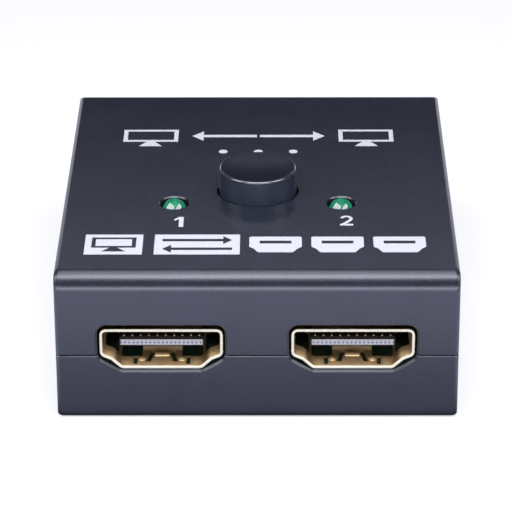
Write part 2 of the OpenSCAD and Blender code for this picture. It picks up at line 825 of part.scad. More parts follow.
// Button: a turned profile with a dished top and a rounded rim, hollow below, with a collar for the stem
module button_cap() {
  low_r = button_d / 2 + (button_d - button_top_d) / 2 / button_h * (body_h - cap_z);
  rim_r = button_top_d / 2;
  dish_r = rim_r - dish_rim;
  dish_curve = (dish_r * dish_r + dish * dish) / (2 * dish);
  steps = 6;
  collar_r = stem_d / 2 + collar_t;
  color(black_colour) translate([0, switch_y, 0]) difference() {
    rotate_extrude() polygon(concat(
      [[0, cap_z], [low_r, cap_z]],
      corner_arc([low_r, cap_z], [rim_r, cap_top], [0, cap_top], button_r, steps),
      [for (i = [0:steps])
        let (x = dish_r * (1 - i / steps))
        [x, cap_top - dish + dish_curve - sqrt(dish_curve * dish_curve - x * x)]]
    ));
    difference() {
      block_post(rim_r - skirt_t, cap_z - eps, stem_top);
      block_post(collar_r, cap_z - 2 * eps, stem_top + eps);
    }
    block_post(stem_d / 2 + stem_fit, cap_z - eps, stem_top);
  }
}

// Children at a lamp's place, with z = 0 at the underside of the case
module at_lamp(side) {
  translate([side * lamp_pitch / 2, lamp_front_y, 0]) children();
}

module lead_holes() {
  for (x = [-1, 1]) translate([x * lead_pitch / 2, 0, 0])
    block_post(lead_w / sqrt(2) + hole_gap, board_z - eps, board_top + eps);
}

module lead_pair() {
  for (x = [-1, 1]) translate([x * lead_pitch / 2, 0, 0])
    block([-lead_w / 2, -lead_w / 2, board_z - solder_out], [lead_w / 2, lead_w / 2, lamp_base + lead_in]);
}

module lamp_lens(side) {
  color(green_colour) at_lamp(side) difference() {
    union() {
      block_post(flange_d / 2, lamp_base, lamp_base + flange_h);
      block_post(lamp_d / 2, lamp_base, lamp_base + lamp_l - lamp_d / 2);
      translate([0, 0, lamp_base + lamp_l - lamp_d / 2]) sphere(d = lamp_d);
    }
    lead_pair();
  }
}

module lamp_leads(side) {
  color(steel_colour) at_lamp(side) lead_pair();
}

module at_chip() {
  translate([0, chip_y, board_top]) children();
}

module switch_chip() {
  color(black_colour) at_chip()
    block([-chip_w / 2, -chip_d / 2, chip_gap], [chip_w / 2, chip_d / 2, chip_gap + chip_t]);
}

// Gull wing leads along both long sides of the chip, as many as fit its length
module chip_leads() {
  count = floor(chip_w / chip_lead_pitch);
  near = chip_d / 2;
  level = chip_gap + chip_t / 2;
  bend = near + chip_foot;
  color(steel_colour) at_chip() for (side = [0, 1], i = [0:count - 1])
    mirror([0, side, 0]) translate([(i - (count - 1) / 2) * chip_lead_pitch, 0, 0])
      along_x(chip_lead_w) polygon([
        [near, level - chip_lead_t], [bend - chip_lead_t, level - chip_lead_t], [bend - chip_lead_t, 0],
        [bend + chip_foot, 0], [bend + chip_foot, chip_lead_t], [bend, chip_lead_t],
        [bend, level], [near, level]
      ]);
}

// Small part for the surface of the board, with a metal cap at each end
module small_part(h) {
  inner = part_w / 2 - cap_proud;
  block([-part_l / 2, -inner, 0], [part_l / 2, inner, h - cap_proud]);
  for (side = [0, 1]) mirror([side, 0, 0])
    block([part_l / 2 - part_cap, -part_w / 2, 0], [part_l / 2, part_w / 2, h]);
}

// Children at the places of a column of small parts beside the chip
module beside_chip(column) {
  x = chip_w / 2 + part_gap + part_l / 2 + column * (part_l + part_gap);
  at_chip() for (i = [-1, 1], j = [-1:1]) translate([i * x, j * (part_w + part_gap), 0]) children();
}

module resistors() {
  color(black_colour) beside_chip(1) small_part(resistor_h);
}

module capacitors() {
  color(ceramic_colour) beside_chip(0) small_part(capacitor_h);
}

top_cover();
bottom_cover();
cover_screws();
main_board();
button_cap();
switch_case();
switch_frame();
switch_plunger();
switch_spring();
latch_wire();
contact_bridges();
switch_terminals();
lamp_lens(-1);  // lamp_lens_1
lamp_lens(1);  // lamp_lens_2
lamp_leads(-1);  // lamp_leads_1
lamp_leads(1);  // lamp_leads_2
socket_shell(0);  // socket_shell_1
socket_shell(1);  // socket_shell_2
socket_shell(2);  // socket_shell_out
socket_insert(0);  // socket_insert_1
socket_insert(1);  // socket_insert_2
socket_insert(2);  // socket_insert_out
socket_contacts(0);  // socket_contacts_1
socket_contacts(1);  // socket_contacts_2
socket_contacts(2);  // socket_contacts_out
switch_chip();
chip_leads();
resistors();
capacitors();
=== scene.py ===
# %% [markdown]
# # Dressing a two way video switch box
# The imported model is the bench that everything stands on: it gives every piece its place, and nothing
# here moves or resizes it. This lesson swaps the pieces that show for smooth surfaces worked out with
# numpy, gives every piece a finish made of shader nodes, and sets up a small photo studio.

# %% Load the frame
import json
import math

import bmesh
import bpy
import numpy as np
from mathutils import Matrix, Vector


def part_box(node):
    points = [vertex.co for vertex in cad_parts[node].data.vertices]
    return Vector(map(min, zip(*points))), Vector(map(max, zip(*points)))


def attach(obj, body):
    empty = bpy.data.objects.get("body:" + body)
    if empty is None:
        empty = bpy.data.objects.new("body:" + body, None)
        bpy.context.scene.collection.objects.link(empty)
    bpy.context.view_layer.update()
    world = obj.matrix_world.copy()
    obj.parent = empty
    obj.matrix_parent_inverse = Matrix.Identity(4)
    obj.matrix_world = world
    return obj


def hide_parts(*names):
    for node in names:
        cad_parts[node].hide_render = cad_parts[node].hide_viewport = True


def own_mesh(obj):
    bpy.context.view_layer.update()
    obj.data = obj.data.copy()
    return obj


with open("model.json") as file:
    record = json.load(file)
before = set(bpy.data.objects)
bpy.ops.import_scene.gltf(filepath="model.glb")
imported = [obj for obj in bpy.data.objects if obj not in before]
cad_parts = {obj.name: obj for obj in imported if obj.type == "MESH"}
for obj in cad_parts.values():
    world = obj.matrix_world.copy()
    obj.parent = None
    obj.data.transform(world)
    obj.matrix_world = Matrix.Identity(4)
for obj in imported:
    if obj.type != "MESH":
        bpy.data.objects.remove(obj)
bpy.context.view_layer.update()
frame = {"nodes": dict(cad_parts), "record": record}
MM = 0.001

# %% [markdown]
# ## Sizes
# A place is never typed twice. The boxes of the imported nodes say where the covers, the sockets, the
# button and the lamps are. Only sizes that a box can't tell, such as a radius, are named here, in
# millimetres, as in the part's source.

# %% Sizes in millimetres
def corners(node):
    """Lowest and highest corner of a node, in millimetres."""
    low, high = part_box(node)
    return np.array(low) / MM, np.array(high) / MM


HALF_W, HALF_D, ROOF = corners("top_cover")[1]
LIP_TOP = corners("bottom_cover")[1][2]
BOARD_LOW, BOARD_TOP = (corner[2] for corner in corners("main_board"))
WALL = 1.5
CORNER_R = 0.6
TOP_R = 2.2
BOTTOM_R = 0.8
SIDE_R = 0.6
LIP_H = 1.2
LIP_T = 0.7
LIP_GAP = 0.1
SEAM_GAP = 0.12
SEAM_LOW = LIP_TOP - LIP_H - SEAM_GAP / 2
SEAM_HIGH = SEAM_LOW + SEAM_GAP
print("Case half width, half depth, roof and seam:", HALF_W, HALF_D, ROOF, round(SEAM_LOW, 2))

# %% [markdown]
# ## Surfaces from rings
# Most mouldings and turned parts are a profile carried round a path. If every ring of points has as many
# points as the next, a whole surface is one array of rows, columns and coordinates, and index arithmetic
# gives all its faces at once. That is quicker than adding faces one by one, and a seam can't stay open.

# %% Skin over rings
def skin(rings, closed=False):
    """Points and faces of a surface over rings, an array of (rows, columns, 3).

    Quads join each ring to the next one. The last ring joins the first one if the surface is closed.
    Otherwise one flat face ends it on each side.
    """
    rows, columns = rings.shape[:2]
    row, column = np.meshgrid(np.arange(rows - 1 + closed), np.arange(columns), indexing="ij")
    after = (row + 1) % rows * columns
    right = (column + 1) % columns
    here = row * columns
    quads = np.stack([here + column, here + right, after + right, after + column], axis=-1)
    blocks = [quads.reshape(-1, 4)]
    if not closed:
        first = np.arange(columns)[None, ::-1]
        blocks += [first, first[:, ::-1] + (rows - 1) * columns]
    return rings.reshape(-1, 3), blocks


def mesh_of(name, parts):
    """One mesh in metres from several surfaces in millimetres, with its faces turned outwards."""
    starts = np.cumsum([0] + [len(points) for points, _ in parts])
    faces = []
    for start, (_, blocks) in zip(starts, parts):
        faces += [face for block in blocks for face in (block + start).tolist()]
    mesh = bpy.data.meshes.new(name)
    mesh.from_pydata((np.concatenate([points for points, _ in parts]) * MM).tolist(), [], faces)
    work = bmesh.new()
    work.from_mesh(mesh)
    bmesh.ops.recalc_face_normals(work, faces=work.faces)
    work.to_mesh(mesh)
    work.free()
    return mesh


def carve(mesh, cutters):
    """Cuts closed surfaces out of a mesh with an exact Boolean, and returns the plain mesh that is left."""
    blank = bpy.data.objects.new("blank", mesh)
    tool = bpy.data.objects.new("tool", mesh_of("tool", cutters))
    for obj in (blank, tool):
        bpy.context.scene.collection.objects.link(obj)
    cut = blank.modifiers.new("cut", "BOOLEAN")
    cut.operation = "DIFFERENCE"
    cut.solver = "EXACT"
    cut.object = tool
    depsgraph = bpy.context.evaluated_depsgraph_get()
    carved = bpy.data.meshes.new_from_object(blank.evaluated_get(depsgraph))
    for obj in (blank, tool):
        bpy.data.objects.remove(obj)
    return carved


def merged(mesh, other):
    """The first mesh with the faces of the second one added to it."""
    work = bmesh.new()
    work.from_mesh(mesh)
    work.from_mesh(other)
    work.to_mesh(mesh)
    work.free()
    return mesh


def add_piece(name, mesh, material, body="housing", replaces=(), sharp_angle=40, weighted=False):
    """Puts a mesh into the scene as a piece that rides on a body, smooth except at its sharp edges."""
    obj = bpy.data.objects.new(name, mesh)
    bpy.context.scene.collection.objects.link(obj)
    mesh.materials.clear()
    mesh.materials.append(material)
    mesh.polygons.foreach_set("use_smooth", np.ones(len(mesh.polygons), bool))
    mesh.set_sharp_from_angle(angle=math.radians(sharp_angle))
    if weighted:
        even = obj.modifiers.new("even_flats", "WEIGHTED_NORMAL")
        even.keep_sharp = True
    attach(obj, body)
    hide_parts(*replaces)
    print(name, len(mesh.polygons), "faces")
    return obj


# %% [markdown]
# ## Shader maths as Python
# A procedural finish is arithmetic on coordinates. Written with nodes it is a long list of boxes and
# links. The class below wraps one node output, and its operators add the Math nodes, so that a line of
# Python reads like the formula. Every other node comes from the one method `add`.

# %% Wires
class Wire:
    """One output of a shader node. Arithmetic on wires and numbers becomes Math nodes."""

    def __init__(self, tree, socket):
        self.tree = tree
        self.socket = socket

    def add(self, kind, settings=None, inputs=None, out=0):
        """Adds a node of a kind, sets its settings first and its inputs then, and wraps one output."""
        node = self.tree.nodes.new(kind)
        for key, value in (settings or {}).items():
            setattr(node, key, value)
        for key, value in (inputs or {}).items():
            if isinstance(value, Wire):
                self.tree.links.new(value.socket, node.inputs[key])
            else:
                node.inputs[key].default_value = value
        return Wire(self.tree, node.outputs[out])

    def math(self, operation, first, second=0.0):
        return self.add("ShaderNodeMath", {"operation": operation}, {0: first, 1: second})

    def __add__(self, other):
        return self.math("ADD", self, other)

    __radd__ = __add__

    def __sub__(self, other):
        return self.math("SUBTRACT", self, other)

    def __rsub__(self, other):
        return self.math("SUBTRACT", other, self)

    def __mul__(self, other):
        return self.math("MULTIPLY", self, other)

    __rmul__ = __mul__

    def __abs__(self):
        return self.math("ABSOLUTE", self)

    def over(self, level):
        """1 where the value is over a level, 0 elsewhere."""
        return self.math("GREATER_THAN", self, level)

    def ramp(self, low, high):
        """0 up to low and 1 from high on, with a smooth rise between."""
        settings = {"interpolation_type": "SMOOTHSTEP"}
        return self.add("ShaderNodeMapRange", settings, {"Value": self, "From Min": low, "From Max": high})

    def near(self, middle, inner, outer):
        """1 within inner of a middle value and 0 from outer on, with a smooth fall between."""
        return 1 - abs(self - middle).ramp(inner, outer)

    def larger(self, other):
        return self.math("MAXIMUM", self, other)

    def mix(self, first, second):
        """The first colour where the value is 0, the second one where it is 1."""
        inputs = {"Factor": self, 6: first, 7: second}
        return self.add("ShaderNodeMix", {"data_type": "RGBA"}, inputs, out=2)

    def part(self, axis):
        """X, Y or Z of a vector."""
        return self.add("ShaderNodeSeparateXYZ", None, {0: self}, out=axis)

    def mm(self, axis):
        """X, Y or Z of a place, in millimetres."""
        return self.part(axis) * (1 / MM)

    def stretch(self, scale):
        """Coordinates that run faster or slower along each axis."""
        return self.add("ShaderNodeMapping", None, {"Vector": self, "Scale": scale})

    def noise(self, grain, detail=2.0):
        """Cloudy values from 0 to 1 whose features are about grain millimetres across."""
        inputs = {"Vector": self, "Scale": 1 / (grain * MM), "Detail": detail}
        return self.add("ShaderNodeTexNoise", None, inputs)

    def cells(self, size, settings=None):
        """The distance to the middles of cells that are about size millimetres across."""
        return self.add("ShaderNodeTexVoronoi", settings, {"Vector": self, "Scale": 1 / (size * MM)})

    def bump(self, depth):
        """A normal that follows this height, where 1 stands for depth millimetres."""
        return self.add("ShaderNodeBump", None, {"Height": self, "Strength": 1.0, "Distance": depth * MM})


def rgb(red, green, blue):
    """A colour in linear light from its everyday 0 to 255 values."""
    share = np.array([red, green, blue]) / 255
    linear = np.where(share <= 0.04045, share / 12.92, ((share + 0.055) / 1.055) ** 2.4)
    return (*linear.tolist(), 1.0)


def finish(name, fixed, varying):
    """A material: fixed numbers sit on the shader itself, varying ones follow the Object coordinates."""
    material = bpy.data.materials.new(name)
    material.use_nodes = True
    tree = material.node_tree
    shader = tree.nodes["Principled BSDF"]
    for key, value in fixed.items():
        shader.inputs[key].default_value = value
    place = Wire(tree, tree.nodes.new("ShaderNodeTexCoord").outputs["Object"])
    for key, wire in varying(place).items():
        tree.links.new(wire.socket, shader.inputs[key])
    return material


# %% [markdown]
# ## Plastics
# The case is moulded in slate grey plastic from a mould with a very fine spark eroded texture. The eye
# sees no single grain, only a satin sheen and a slight mottling, so the bump is a few thousandths of a
# millimetre deep. A picture of the grain could be wrapped round the case, but noise that reads the place
# itself has no seams and needs no unwrapping. The mouldings inside are plain black.

# %% Plastic finishes
def moulded(dark, light, grain, depth, rough, spread):
    """Moulded plastic: two close colours mottled by its grain, and a bump of the same grain."""
    def varying(place):
        fine = place.noise(grain)
        cloud = place.noise(40 * grain, detail=3.0)
        return {
            "Base Color": (0.9 * fine + 0.1 * cloud).ramp(0.32, 0.68).mix(dark, light),
            "Roughness": rough - spread + 2 * spread * cloud,
            "Normal": fine.bump(depth),
        }
    return varying


SLATE = finish("slate_plastic", {"IOR": 1.8}, moulded(
    rgb(7, 9, 14), rgb(43, 48, 62), grain=0.14, depth=0.0048, rough=0.29, spread=0.01))
INNER_BLACK = finish("inner_black", {"IOR": 1.5}, moulded(
    rgb(20, 20, 21), rgb(30, 30, 31), grain=0.2, depth=0.005, rough=0.45, spread=0.08))
print("Plastics made")

# %% [markdown]
# ## Metals
# The socket shells and contacts are stamped from sheet that was rolled before it was plated, so their
# gold shows faint lines along the rolling. A plug rubs on whatever stands up from a shell's floor and on
# the cut edge, and makes it paler; there the paler gold is also a painted highlight. The shoulders carry a
# painted reflection, and a browner band in line with the creases is painted shade. Such places could be
# painted by hand, but a mask that is worked out from the shell's sizes meets every bend exactly. Zinc and
# tin are duller and clouded.

# %% Metal finishes
def plated(dark, light, grain, lengthen, rough, spread):
    """Plated sheet: cloudy colour, and roughness in fine lines that the rolling drew out."""
    def varying(place):
        lines = place.stretch(lengthen).noise(grain, detail=3.0)
        cloud = place.noise(12 * grain, detail=2.0)
        return {
            "Base Color": (0.4 * lines + 0.6 * cloud).ramp(0.25, 0.75).mix(dark, light),
            "Roughness": rough - spread + 2 * spread * lines,
            "Normal": lines.bump(0.002),
        }
    return varying


ALONG_Y = (1.0, 0.05, 1.0)
EVEN = (1.0, 1.0, 1.0)
METAL = {"Metallic": 1.0}
SOCKET_H, SIDE_H, SHELL_T = 4.55, 2.95, 0.35
shell_low, shell_high = corners("socket_shell_2")
PORT_X = (shell_low + shell_high)[0] / 2
MOUTH = -shell_low[1]
FLOOR_Z = shell_high[2] - SHELL_T - SOCKET_H
FLANK_X, CREASE_X, SHOULDER_X = 4.05, 5.2, 6.15
DIMPLE_R, DIMPLE_H, DIMPLE_AT = 0.52, 0.24, (2.4, 1.8)
LIP_HALF, LIP_R, LIP_Y = 0.95, 0.34, 2.9
RISE_HALF, RISE_FRONT, RISE_TOP, RISE_BACK, RISE_H = 2.35, 4.2, 4.75, 6.5, 0.42
# Pale gold and near white: partly rubbed wear, partly painted highlight. The brown: painted shade.
RUBBED_AND_LIT, CREASE_SHADE, CUT_EDGE_AND_GLINT = rgb(255, 224, 164), rgb(112, 80, 44), rgb(255, 246, 218)


def burnished_and_painted_light(place):
    """The shells' gold: plated sheet, paler where plugs rub, with painted highlights and painted shade.

    Raised bits and the cut edge are partly rubbed paler and partly painted highlight, the shoulders carry
    a painted reflection, and the browner band in line with the creases is painted shade.

    Masks tell a place by its distance from the shell's middle, its depth behind the mouth and its height
    over the floor. The shells in front lie PORT_X to the left and right, and the rear one in the middle.
    """
    look = plated(rgb(222, 180, 122), rgb(244, 205, 151), 0.09, ALONG_Y, 0.32, 0.05)(place)
    x, y, z = (place.mm(axis) for axis in range(3))
    front = abs(abs(x) - PORT_X)
    across = front + y.over(0) * (abs(x) - front)
    depth = MOUTH - abs(y)
    level = z - FLOOR_Z
    rim = 1 - depth.ramp(0.1, 0.3)
    # Painted shade: a browner band in line with the creases.
    crease_shade = across.near(CREASE_X, 0.1, 0.7)
    flank = across.near(FLANK_X, 0.1, 0.6)
    # Painted reflection: the shoulders are made paler where they would catch the light.
    shoulder_glint = across.near(SHOULDER_X, 0.25, 0.85) * (1 - level.ramp(1.7, 2.0))
    off_x, off_y = across - DIMPLE_AT[0], depth - DIMPLE_AT[1]
    dimple = 1 - (off_x * off_x + off_y * off_y).ramp(0.15, 0.3)
    behind_lip = depth.ramp(RISE_FRONT - 0.1, RISE_FRONT + 0.1)
    rise = (1 - across.ramp(RISE_HALF - 0.05, RISE_HALF + 0.1)) * behind_lip
    lip = (1 - across.ramp(LIP_HALF - 0.05, LIP_HALF + 0.1)) * depth.near(LIP_Y, 0.3, 0.42)
    # Flanks, dimples, lip and ramp are paler: partly rubbed by plugs, partly painted highlight.
    rubbed_and_lit = (0.8 * flank).larger(dimple).larger(lip).larger(rise) * (1 - level.ramp(0.6, 1.2))
    colour = (0.7 * crease_shade).mix(look["Base Color"], CREASE_SHADE)
    # The cut edge at the rim is near white: partly rubbed paler, partly painted highlight.
    look["Base Color"] = rim.mix(rubbed_and_lit.larger(shoulder_glint).mix(colour, RUBBED_AND_LIT), CUT_EDGE_AND_GLINT)
    look["Metallic"] = 0.55 + 0.45 * level.ramp(1.9, 2.6) * (1 - rim) - 0.2 * rim.larger(shoulder_glint)
    return look


SHELL_GOLD = finish("shell_gold", {}, burnished_and_painted_light)
CONTACT_GOLD = finish(
    "contact_gold", METAL, plated(rgb(226, 188, 116), rgb(248, 214, 148), 0.06, ALONG_Y, 0.24, 0.06))
ZINC = finish("screw_zinc", METAL, plated(rgb(168, 172, 180), rgb(206, 208, 210), 0.15, EVEN, 0.3, 0.06))
WIRE_STEEL = finish(
    "spring_wire", METAL, plated(rgb(150, 152, 158), rgb(196, 198, 202), 0.05, EVEN, 0.25, 0.05))
TIN = finish("dull_tin", METAL, plated(rgb(178, 178, 176), rgb(212, 212, 210), 0.12, EVEN, 0.4, 0.08))
print("Metals made")

# %% [markdown]
# ## The board and the small parts
# A board is green lacquer over copper: where a track runs below, the lacquer is lighter and a little
# raised, and the vias shine through as tinned dots. Resistors and capacitors have tinned ends, which a
# mask along X picks out because all of them lie along X.

# %% Board and small parts
def board_lacquer(place):
    """Tracks are the bands of a distance measured in right angles, and vias are the middles of cells."""
    distance = place.cells(3.0, {"distance": "MANHATTAN"})
    between = abs((6.0 * distance).math("FRACT", 6.0 * distance) - 0.5).ramp(0.1, 0.16)
    via = 1 - place.cells(1.9).ramp(0.13, 0.17)
    green = between.mix(rgb(30, 92, 62), rgb(18, 62, 46))
    return {
        "Base Color": via.mix(green, rgb(190, 186, 170)),
        "Metallic": via,
        "Roughness": 0.28 + 0.1 * place.noise(0.2),
        "Normal": (0.7 * (1 - between) + via).bump(0.02),
    }


SMALL_PART_L = 1.6
SMALL_PART_END = 0.3


def tinned_ends(node, body_dark, body_light):
    """The finish of a row of small parts along X whose last bits of length on both ends are tinned."""
    middle = corners(node)[1][0] - SMALL_PART_L / 2

    def varying(place):
        fine = place.noise(0.1)
        end = abs(abs(place.mm(0)) - middle).over(SMALL_PART_L / 2 - SMALL_PART_END)
        return {
            "Base Color": end.mix(fine.mix(body_dark, body_light), rgb(205, 205, 202)),
            "Metallic": end,
            "Roughness": 0.5 - 0.15 * end + 0.1 * fine,
            "Normal": fine.bump(0.004),
        }
    return varying


BOARD = finish("board_lacquer", {"IOR": 1.5}, board_lacquer)
CAPACITOR = finish("capacitor", {}, tinned_ends("capacitors", rgb(150, 124, 94), rgb(176, 148, 114)))
RESISTOR = finish("resistor", {}, tinned_ends("resistors", rgb(18, 18, 20), rgb(32, 32, 34)))
print("Board and small parts made")

# %% [markdown]
# ## The two covers
# Each cover is one moulding. Its wall is a stack of rounded rectangles, one for every height. The edges in
# front and behind are rounder than those on the two sides. A box with a bevel would give them all one
# radius, so here each rectangle has its own distance from the outside along X and along Y. Sockets, button
# and lamps get their holes from cutters that flare at the surface, so that every rim has the small chamfer
# that catches a line of light.

# %% Rings and turned shapes
CORNER_STEPS = 8
SOFT_CORNER = 0.5


def quarter_arc(steps):
    """Sines and cosines from 0 to 90 degrees."""
    angle = np.linspace(0, math.pi / 2, steps + 1)
    return np.sin(angle), np.cos(angle)


def edge_inset(height, start, radius):
    """How far a round edge has moved inwards at a height, for an arc of a radius that starts at a height."""
    rise = np.clip((height - start) / radius, 0, 1)
    return radius * (1 - np.sqrt(1 - rise**2))


def rounded_rectangles(inset_x, inset_y, height):
    """One ring for every height: a rectangle that far inside the case, with quarter arcs at its corners.

    The arcs' radius is the case's corner radius less the larger inset, and never less than a soft corner.
    """
    inset_x, inset_y, height = (np.array(values, float)[:, None] for values in (inset_x, inset_y, height))
    radius = np.maximum(CORNER_R - np.maximum(inset_x, inset_y), SOFT_CORNER)
    quarter = np.repeat(np.arange(4), CORNER_STEPS + 1)
    angle = (quarter + np.tile(np.linspace(0, 1, CORNER_STEPS + 1), 4)) * math.pi / 2
    side_x = np.where((quarter == 0) | (quarter == 3), 1, -1)
    side_y = np.where(quarter < 2, 1, -1)
    x = side_x * (HALF_W - inset_x - radius) + radius * np.cos(angle)
    y = side_y * (HALF_D - inset_y - radius) + radius * np.sin(angle)
    return np.stack([x, y, np.broadcast_to(height, x.shape)], axis=-1)


def polar(radius, angle, height):
    """Points about an upright line: x and y are the radius times cos and sin of the angle."""
    x, y = radius * np.cos(angle), radius * np.sin(angle)
    return np.stack(np.broadcast_arrays(x, y, height), axis=-1)


def lathe(radius, height, middle, steps=48, closed=False):
    """A profile of radii and heights turned about an upright line through a middle."""
    angle = np.arange(steps) * 2 * math.pi / steps
    radius, height = (np.array(values, float)[:, None] for values in (radius, height))
    return skin(polar(radius, angle, height) + [*middle, 0], closed)


def shifted(part, way):
    """A surface moved along a vector."""
    return part[0] + np.array(way, float), part[1]


def prism(ring, way):
    """A ring of points and the same ring moved along a vector, joined into a closed surface."""
    ring = np.array(ring, float)
    return skin(np.stack([ring, ring + way]))


def rectangle(x, y):
    """Corners of a rectangle between two values along X and Y, anticlockwise."""
    return np.array([[x[0], y[0]], [x[1], y[0]], [x[1], y[1]], [x[0], y[1]]], float)


def box(x, y, z):
    """A box between two values along each axis."""
    return prism(np.insert(rectangle(x, y), 2, z[0], axis=1), [0, 0, z[1] - z[0]])


# %% [markdown]
# A socket's outline has slanted shoulders. It is kept as eight corners, which can be grown by a distance
# before arcs replace them. The shell, its gap in the case and the flare of that gap are all one outline.

# %% Socket outline
SOCKET_W = 14.0
SHOULDER_W, SHOULDER_DROP, FLOOR_W = 1.15, 0.5, 9.3
SOCKET_R = 0.45
right_side = np.array([
    [FLOOR_W / 2, 0],
    [SOCKET_W / 2 - SHOULDER_W, SOCKET_H - SIDE_H - SHOULDER_DROP],
    [SOCKET_W / 2, SOCKET_H - SIDE_H],
    [SOCKET_W / 2, SOCKET_H],
])
SOCKET_CORNERS = np.concatenate([right_side, right_side[::-1] * [-1, 1]])


def turn_left(vector):
    """A flat vector turned by 90 degrees: (x, y) becomes (-y, x)."""
    return np.stack([-vector[..., 1], vector[..., 0]], axis=-1)


def unit(vector):
    """A vector divided by its length."""
    return vector / np.linalg.norm(vector, axis=-1, keepdims=True)


def rounded_outline(points, outer_r, inner_r, steps=6):
    """An anticlockwise outline whose corners are arcs that start and end along its edges.

    An arc starts before its corner by the radius times the tangent of half the turn.
    """
    come = unit(points - np.roll(points, 1, axis=0))
    go = unit(np.roll(points, -1, axis=0) - points)
    turn = np.arctan2((turn_left(come) * go).sum(1), (come * go).sum(1))
    radius = np.where(turn > 0, outer_r, inner_r)
    start = points - come * (radius * np.tan(abs(turn) / 2))[:, None]
    arm = -turn_left(come) * (np.sign(turn) * radius)[:, None]
    angle = (turn[:, None] * np.linspace(0, 1, steps + 1))[..., None]
    swung = arm[:, None] * np.cos(angle) + turn_left(arm)[:, None] * np.sin(angle)
    return (start[:, None] - arm[:, None] + swung).reshape(-1, 2)


def grown(points, distance):
    """An anticlockwise outline whose edges have moved outwards by a distance.

    A corner moves along the sum of its edges' normals, divided by 1 plus their dot product.
    """
    out = -turn_left(unit(np.roll(points, -1, axis=0) - points))
    before = np.roll(out, 1, axis=0)
    return points + distance * (out + before) / (1 + (out * before).sum(1))[:, None]


def socket_rings(corner_points, distances, depths):
    """The outline through some corners, grown by each distance at each depth behind the mouth."""
    flat = np.stack([
        rounded_outline(grown(corner_points, g), SOCKET_R + g, max(SOCKET_R - g, 0.02)) for g in distances
    ])
    depth = np.broadcast_to(np.array(depths, float)[:, None], flat.shape[:2])
    return np.stack([flat[..., 0], depth, flat[..., 1]], axis=-1)


def socket_place(node):
    """The middle of a socket's floor at its mouth, and 1 if it faces the front, -1 if the rear."""
    low, high = corners(node)
    facing = 1 if low[1] < 0 else -1
    mouth = low[1] if facing == 1 else high[1]
    return np.array([(low[0] + high[0]) / 2, mouth, high[2] - SHELL_T - SOCKET_H]), facing


def at_socket(part, place):
    """A surface in a socket's own frame, turned and moved to its place."""
    (points, blocks), (middle, facing) = part, place
    return points * [facing, facing, 1] + middle, blocks


SOCKETS = {name: socket_place("socket_shell_" + name) for name in ("1", "2", "out")}
MOUTH_INSET = SOCKETS["1"][0][1] + HALF_D
print("Sockets:", {name: np.round(place[0], 2).tolist() for name, place in SOCKETS.items()})

# %% Cutters with flared rims
SOCKET_GAP = 0.25
SOCKET_FLARE = 0.24
FLOOR_LIFT, ROOF_LIFT = 0.18, 0.34
SHOULDER_ROOM = (0.16, -0.16)
HOLE_FLARE = 0.15
PAST = 0.6
BUTTON_R = 4.85
BUTTON_GAP = 0.2
LAMP_R = 1.5
LAMP_GAP = 0.3
button_low, button_high = corners("button_cap")
BUTTON_MIDDLE = (button_low + button_high)[:2] / 2
LAMPS = [sum(corners(f"lamp_lens_{number}"))[:2] / 2 for number in (1, 2)]


def flared_profile(size, flare, depth):
    """Sizes and depths of a hole with a chamfer at the surface, depth 0, that goes on widening past it."""
    sizes = np.array([size + flare + 3 * PAST, size + flare, size, size])
    return sizes, np.array([-0.2 * PAST, 0, flare, depth])


def socket_cutter(place):
    """The hole for a socket: its outline with sill and roof lifted and more room at the shoulders."""
    x, z = SOCKET_CORNERS.T
    lift = np.select([z == 0, z == SOCKET_H], [FLOOR_LIFT, ROOF_LIFT], 0)
    inner = z == SOCKET_H - SIDE_H - SHOULDER_DROP
    room = inner[:, None] * SHOULDER_ROOM * np.stack([np.sign(x), np.ones(len(x))], axis=1)
    hole = SOCKET_CORNERS + lift[:, None] * [0, 1] + room
    sizes, depths = flared_profile(SHELL_T + SOCKET_GAP, SOCKET_FLARE, WALL + PAST)
    return at_socket(skin(socket_rings(hole, sizes, depths - MOUTH_INSET)), place)


def roof_cutter(radius, middle):
    """A round hole down from the roof: the flared profile turned about its middle."""
    sizes, depths = flared_profile(radius, HOLE_FLARE, WALL + PAST)
    return lathe(sizes, ROOF - depths, middle, steps=72)


socket_cutters = [socket_cutter(place) for place in SOCKETS.values()]
top_cutters = socket_cutters + [roof_cutter(BUTTON_R + BUTTON_GAP, BUTTON_MIDDLE)]
top_cutters += [roof_cutter(LAMP_R + LAMP_GAP, middle) for middle in LAMPS]
print(len(top_cutters), "cutters for the top cover")

# %% Top cover
TOP_SEAM_EDGE = 0.04
BOTTOM_SEAM_EDGE = 0.14
BOSS_R = 2.1
BORE_R = 1.03
BORE_PAST = 0.3
SCREW_HEAD_R = 1.7
SINK_IN = 0.05
TINY = 0.02
screw_low, screw_high = corners("cover_screws")
SCREWS = [
    (x, y)
    for x in (screw_low[0] + SCREW_HEAD_R, screw_high[0] - SCREW_HEAD_R)
    for y in (screw_low[1] + SCREW_HEAD_R, screw_high[1] - SCREW_HEAD_R)
]


def arc_heights(*arcs):
    """The heights of several arcs in one rising list, each once."""
    return np.unique(np.round(np.concatenate(arcs), 4))


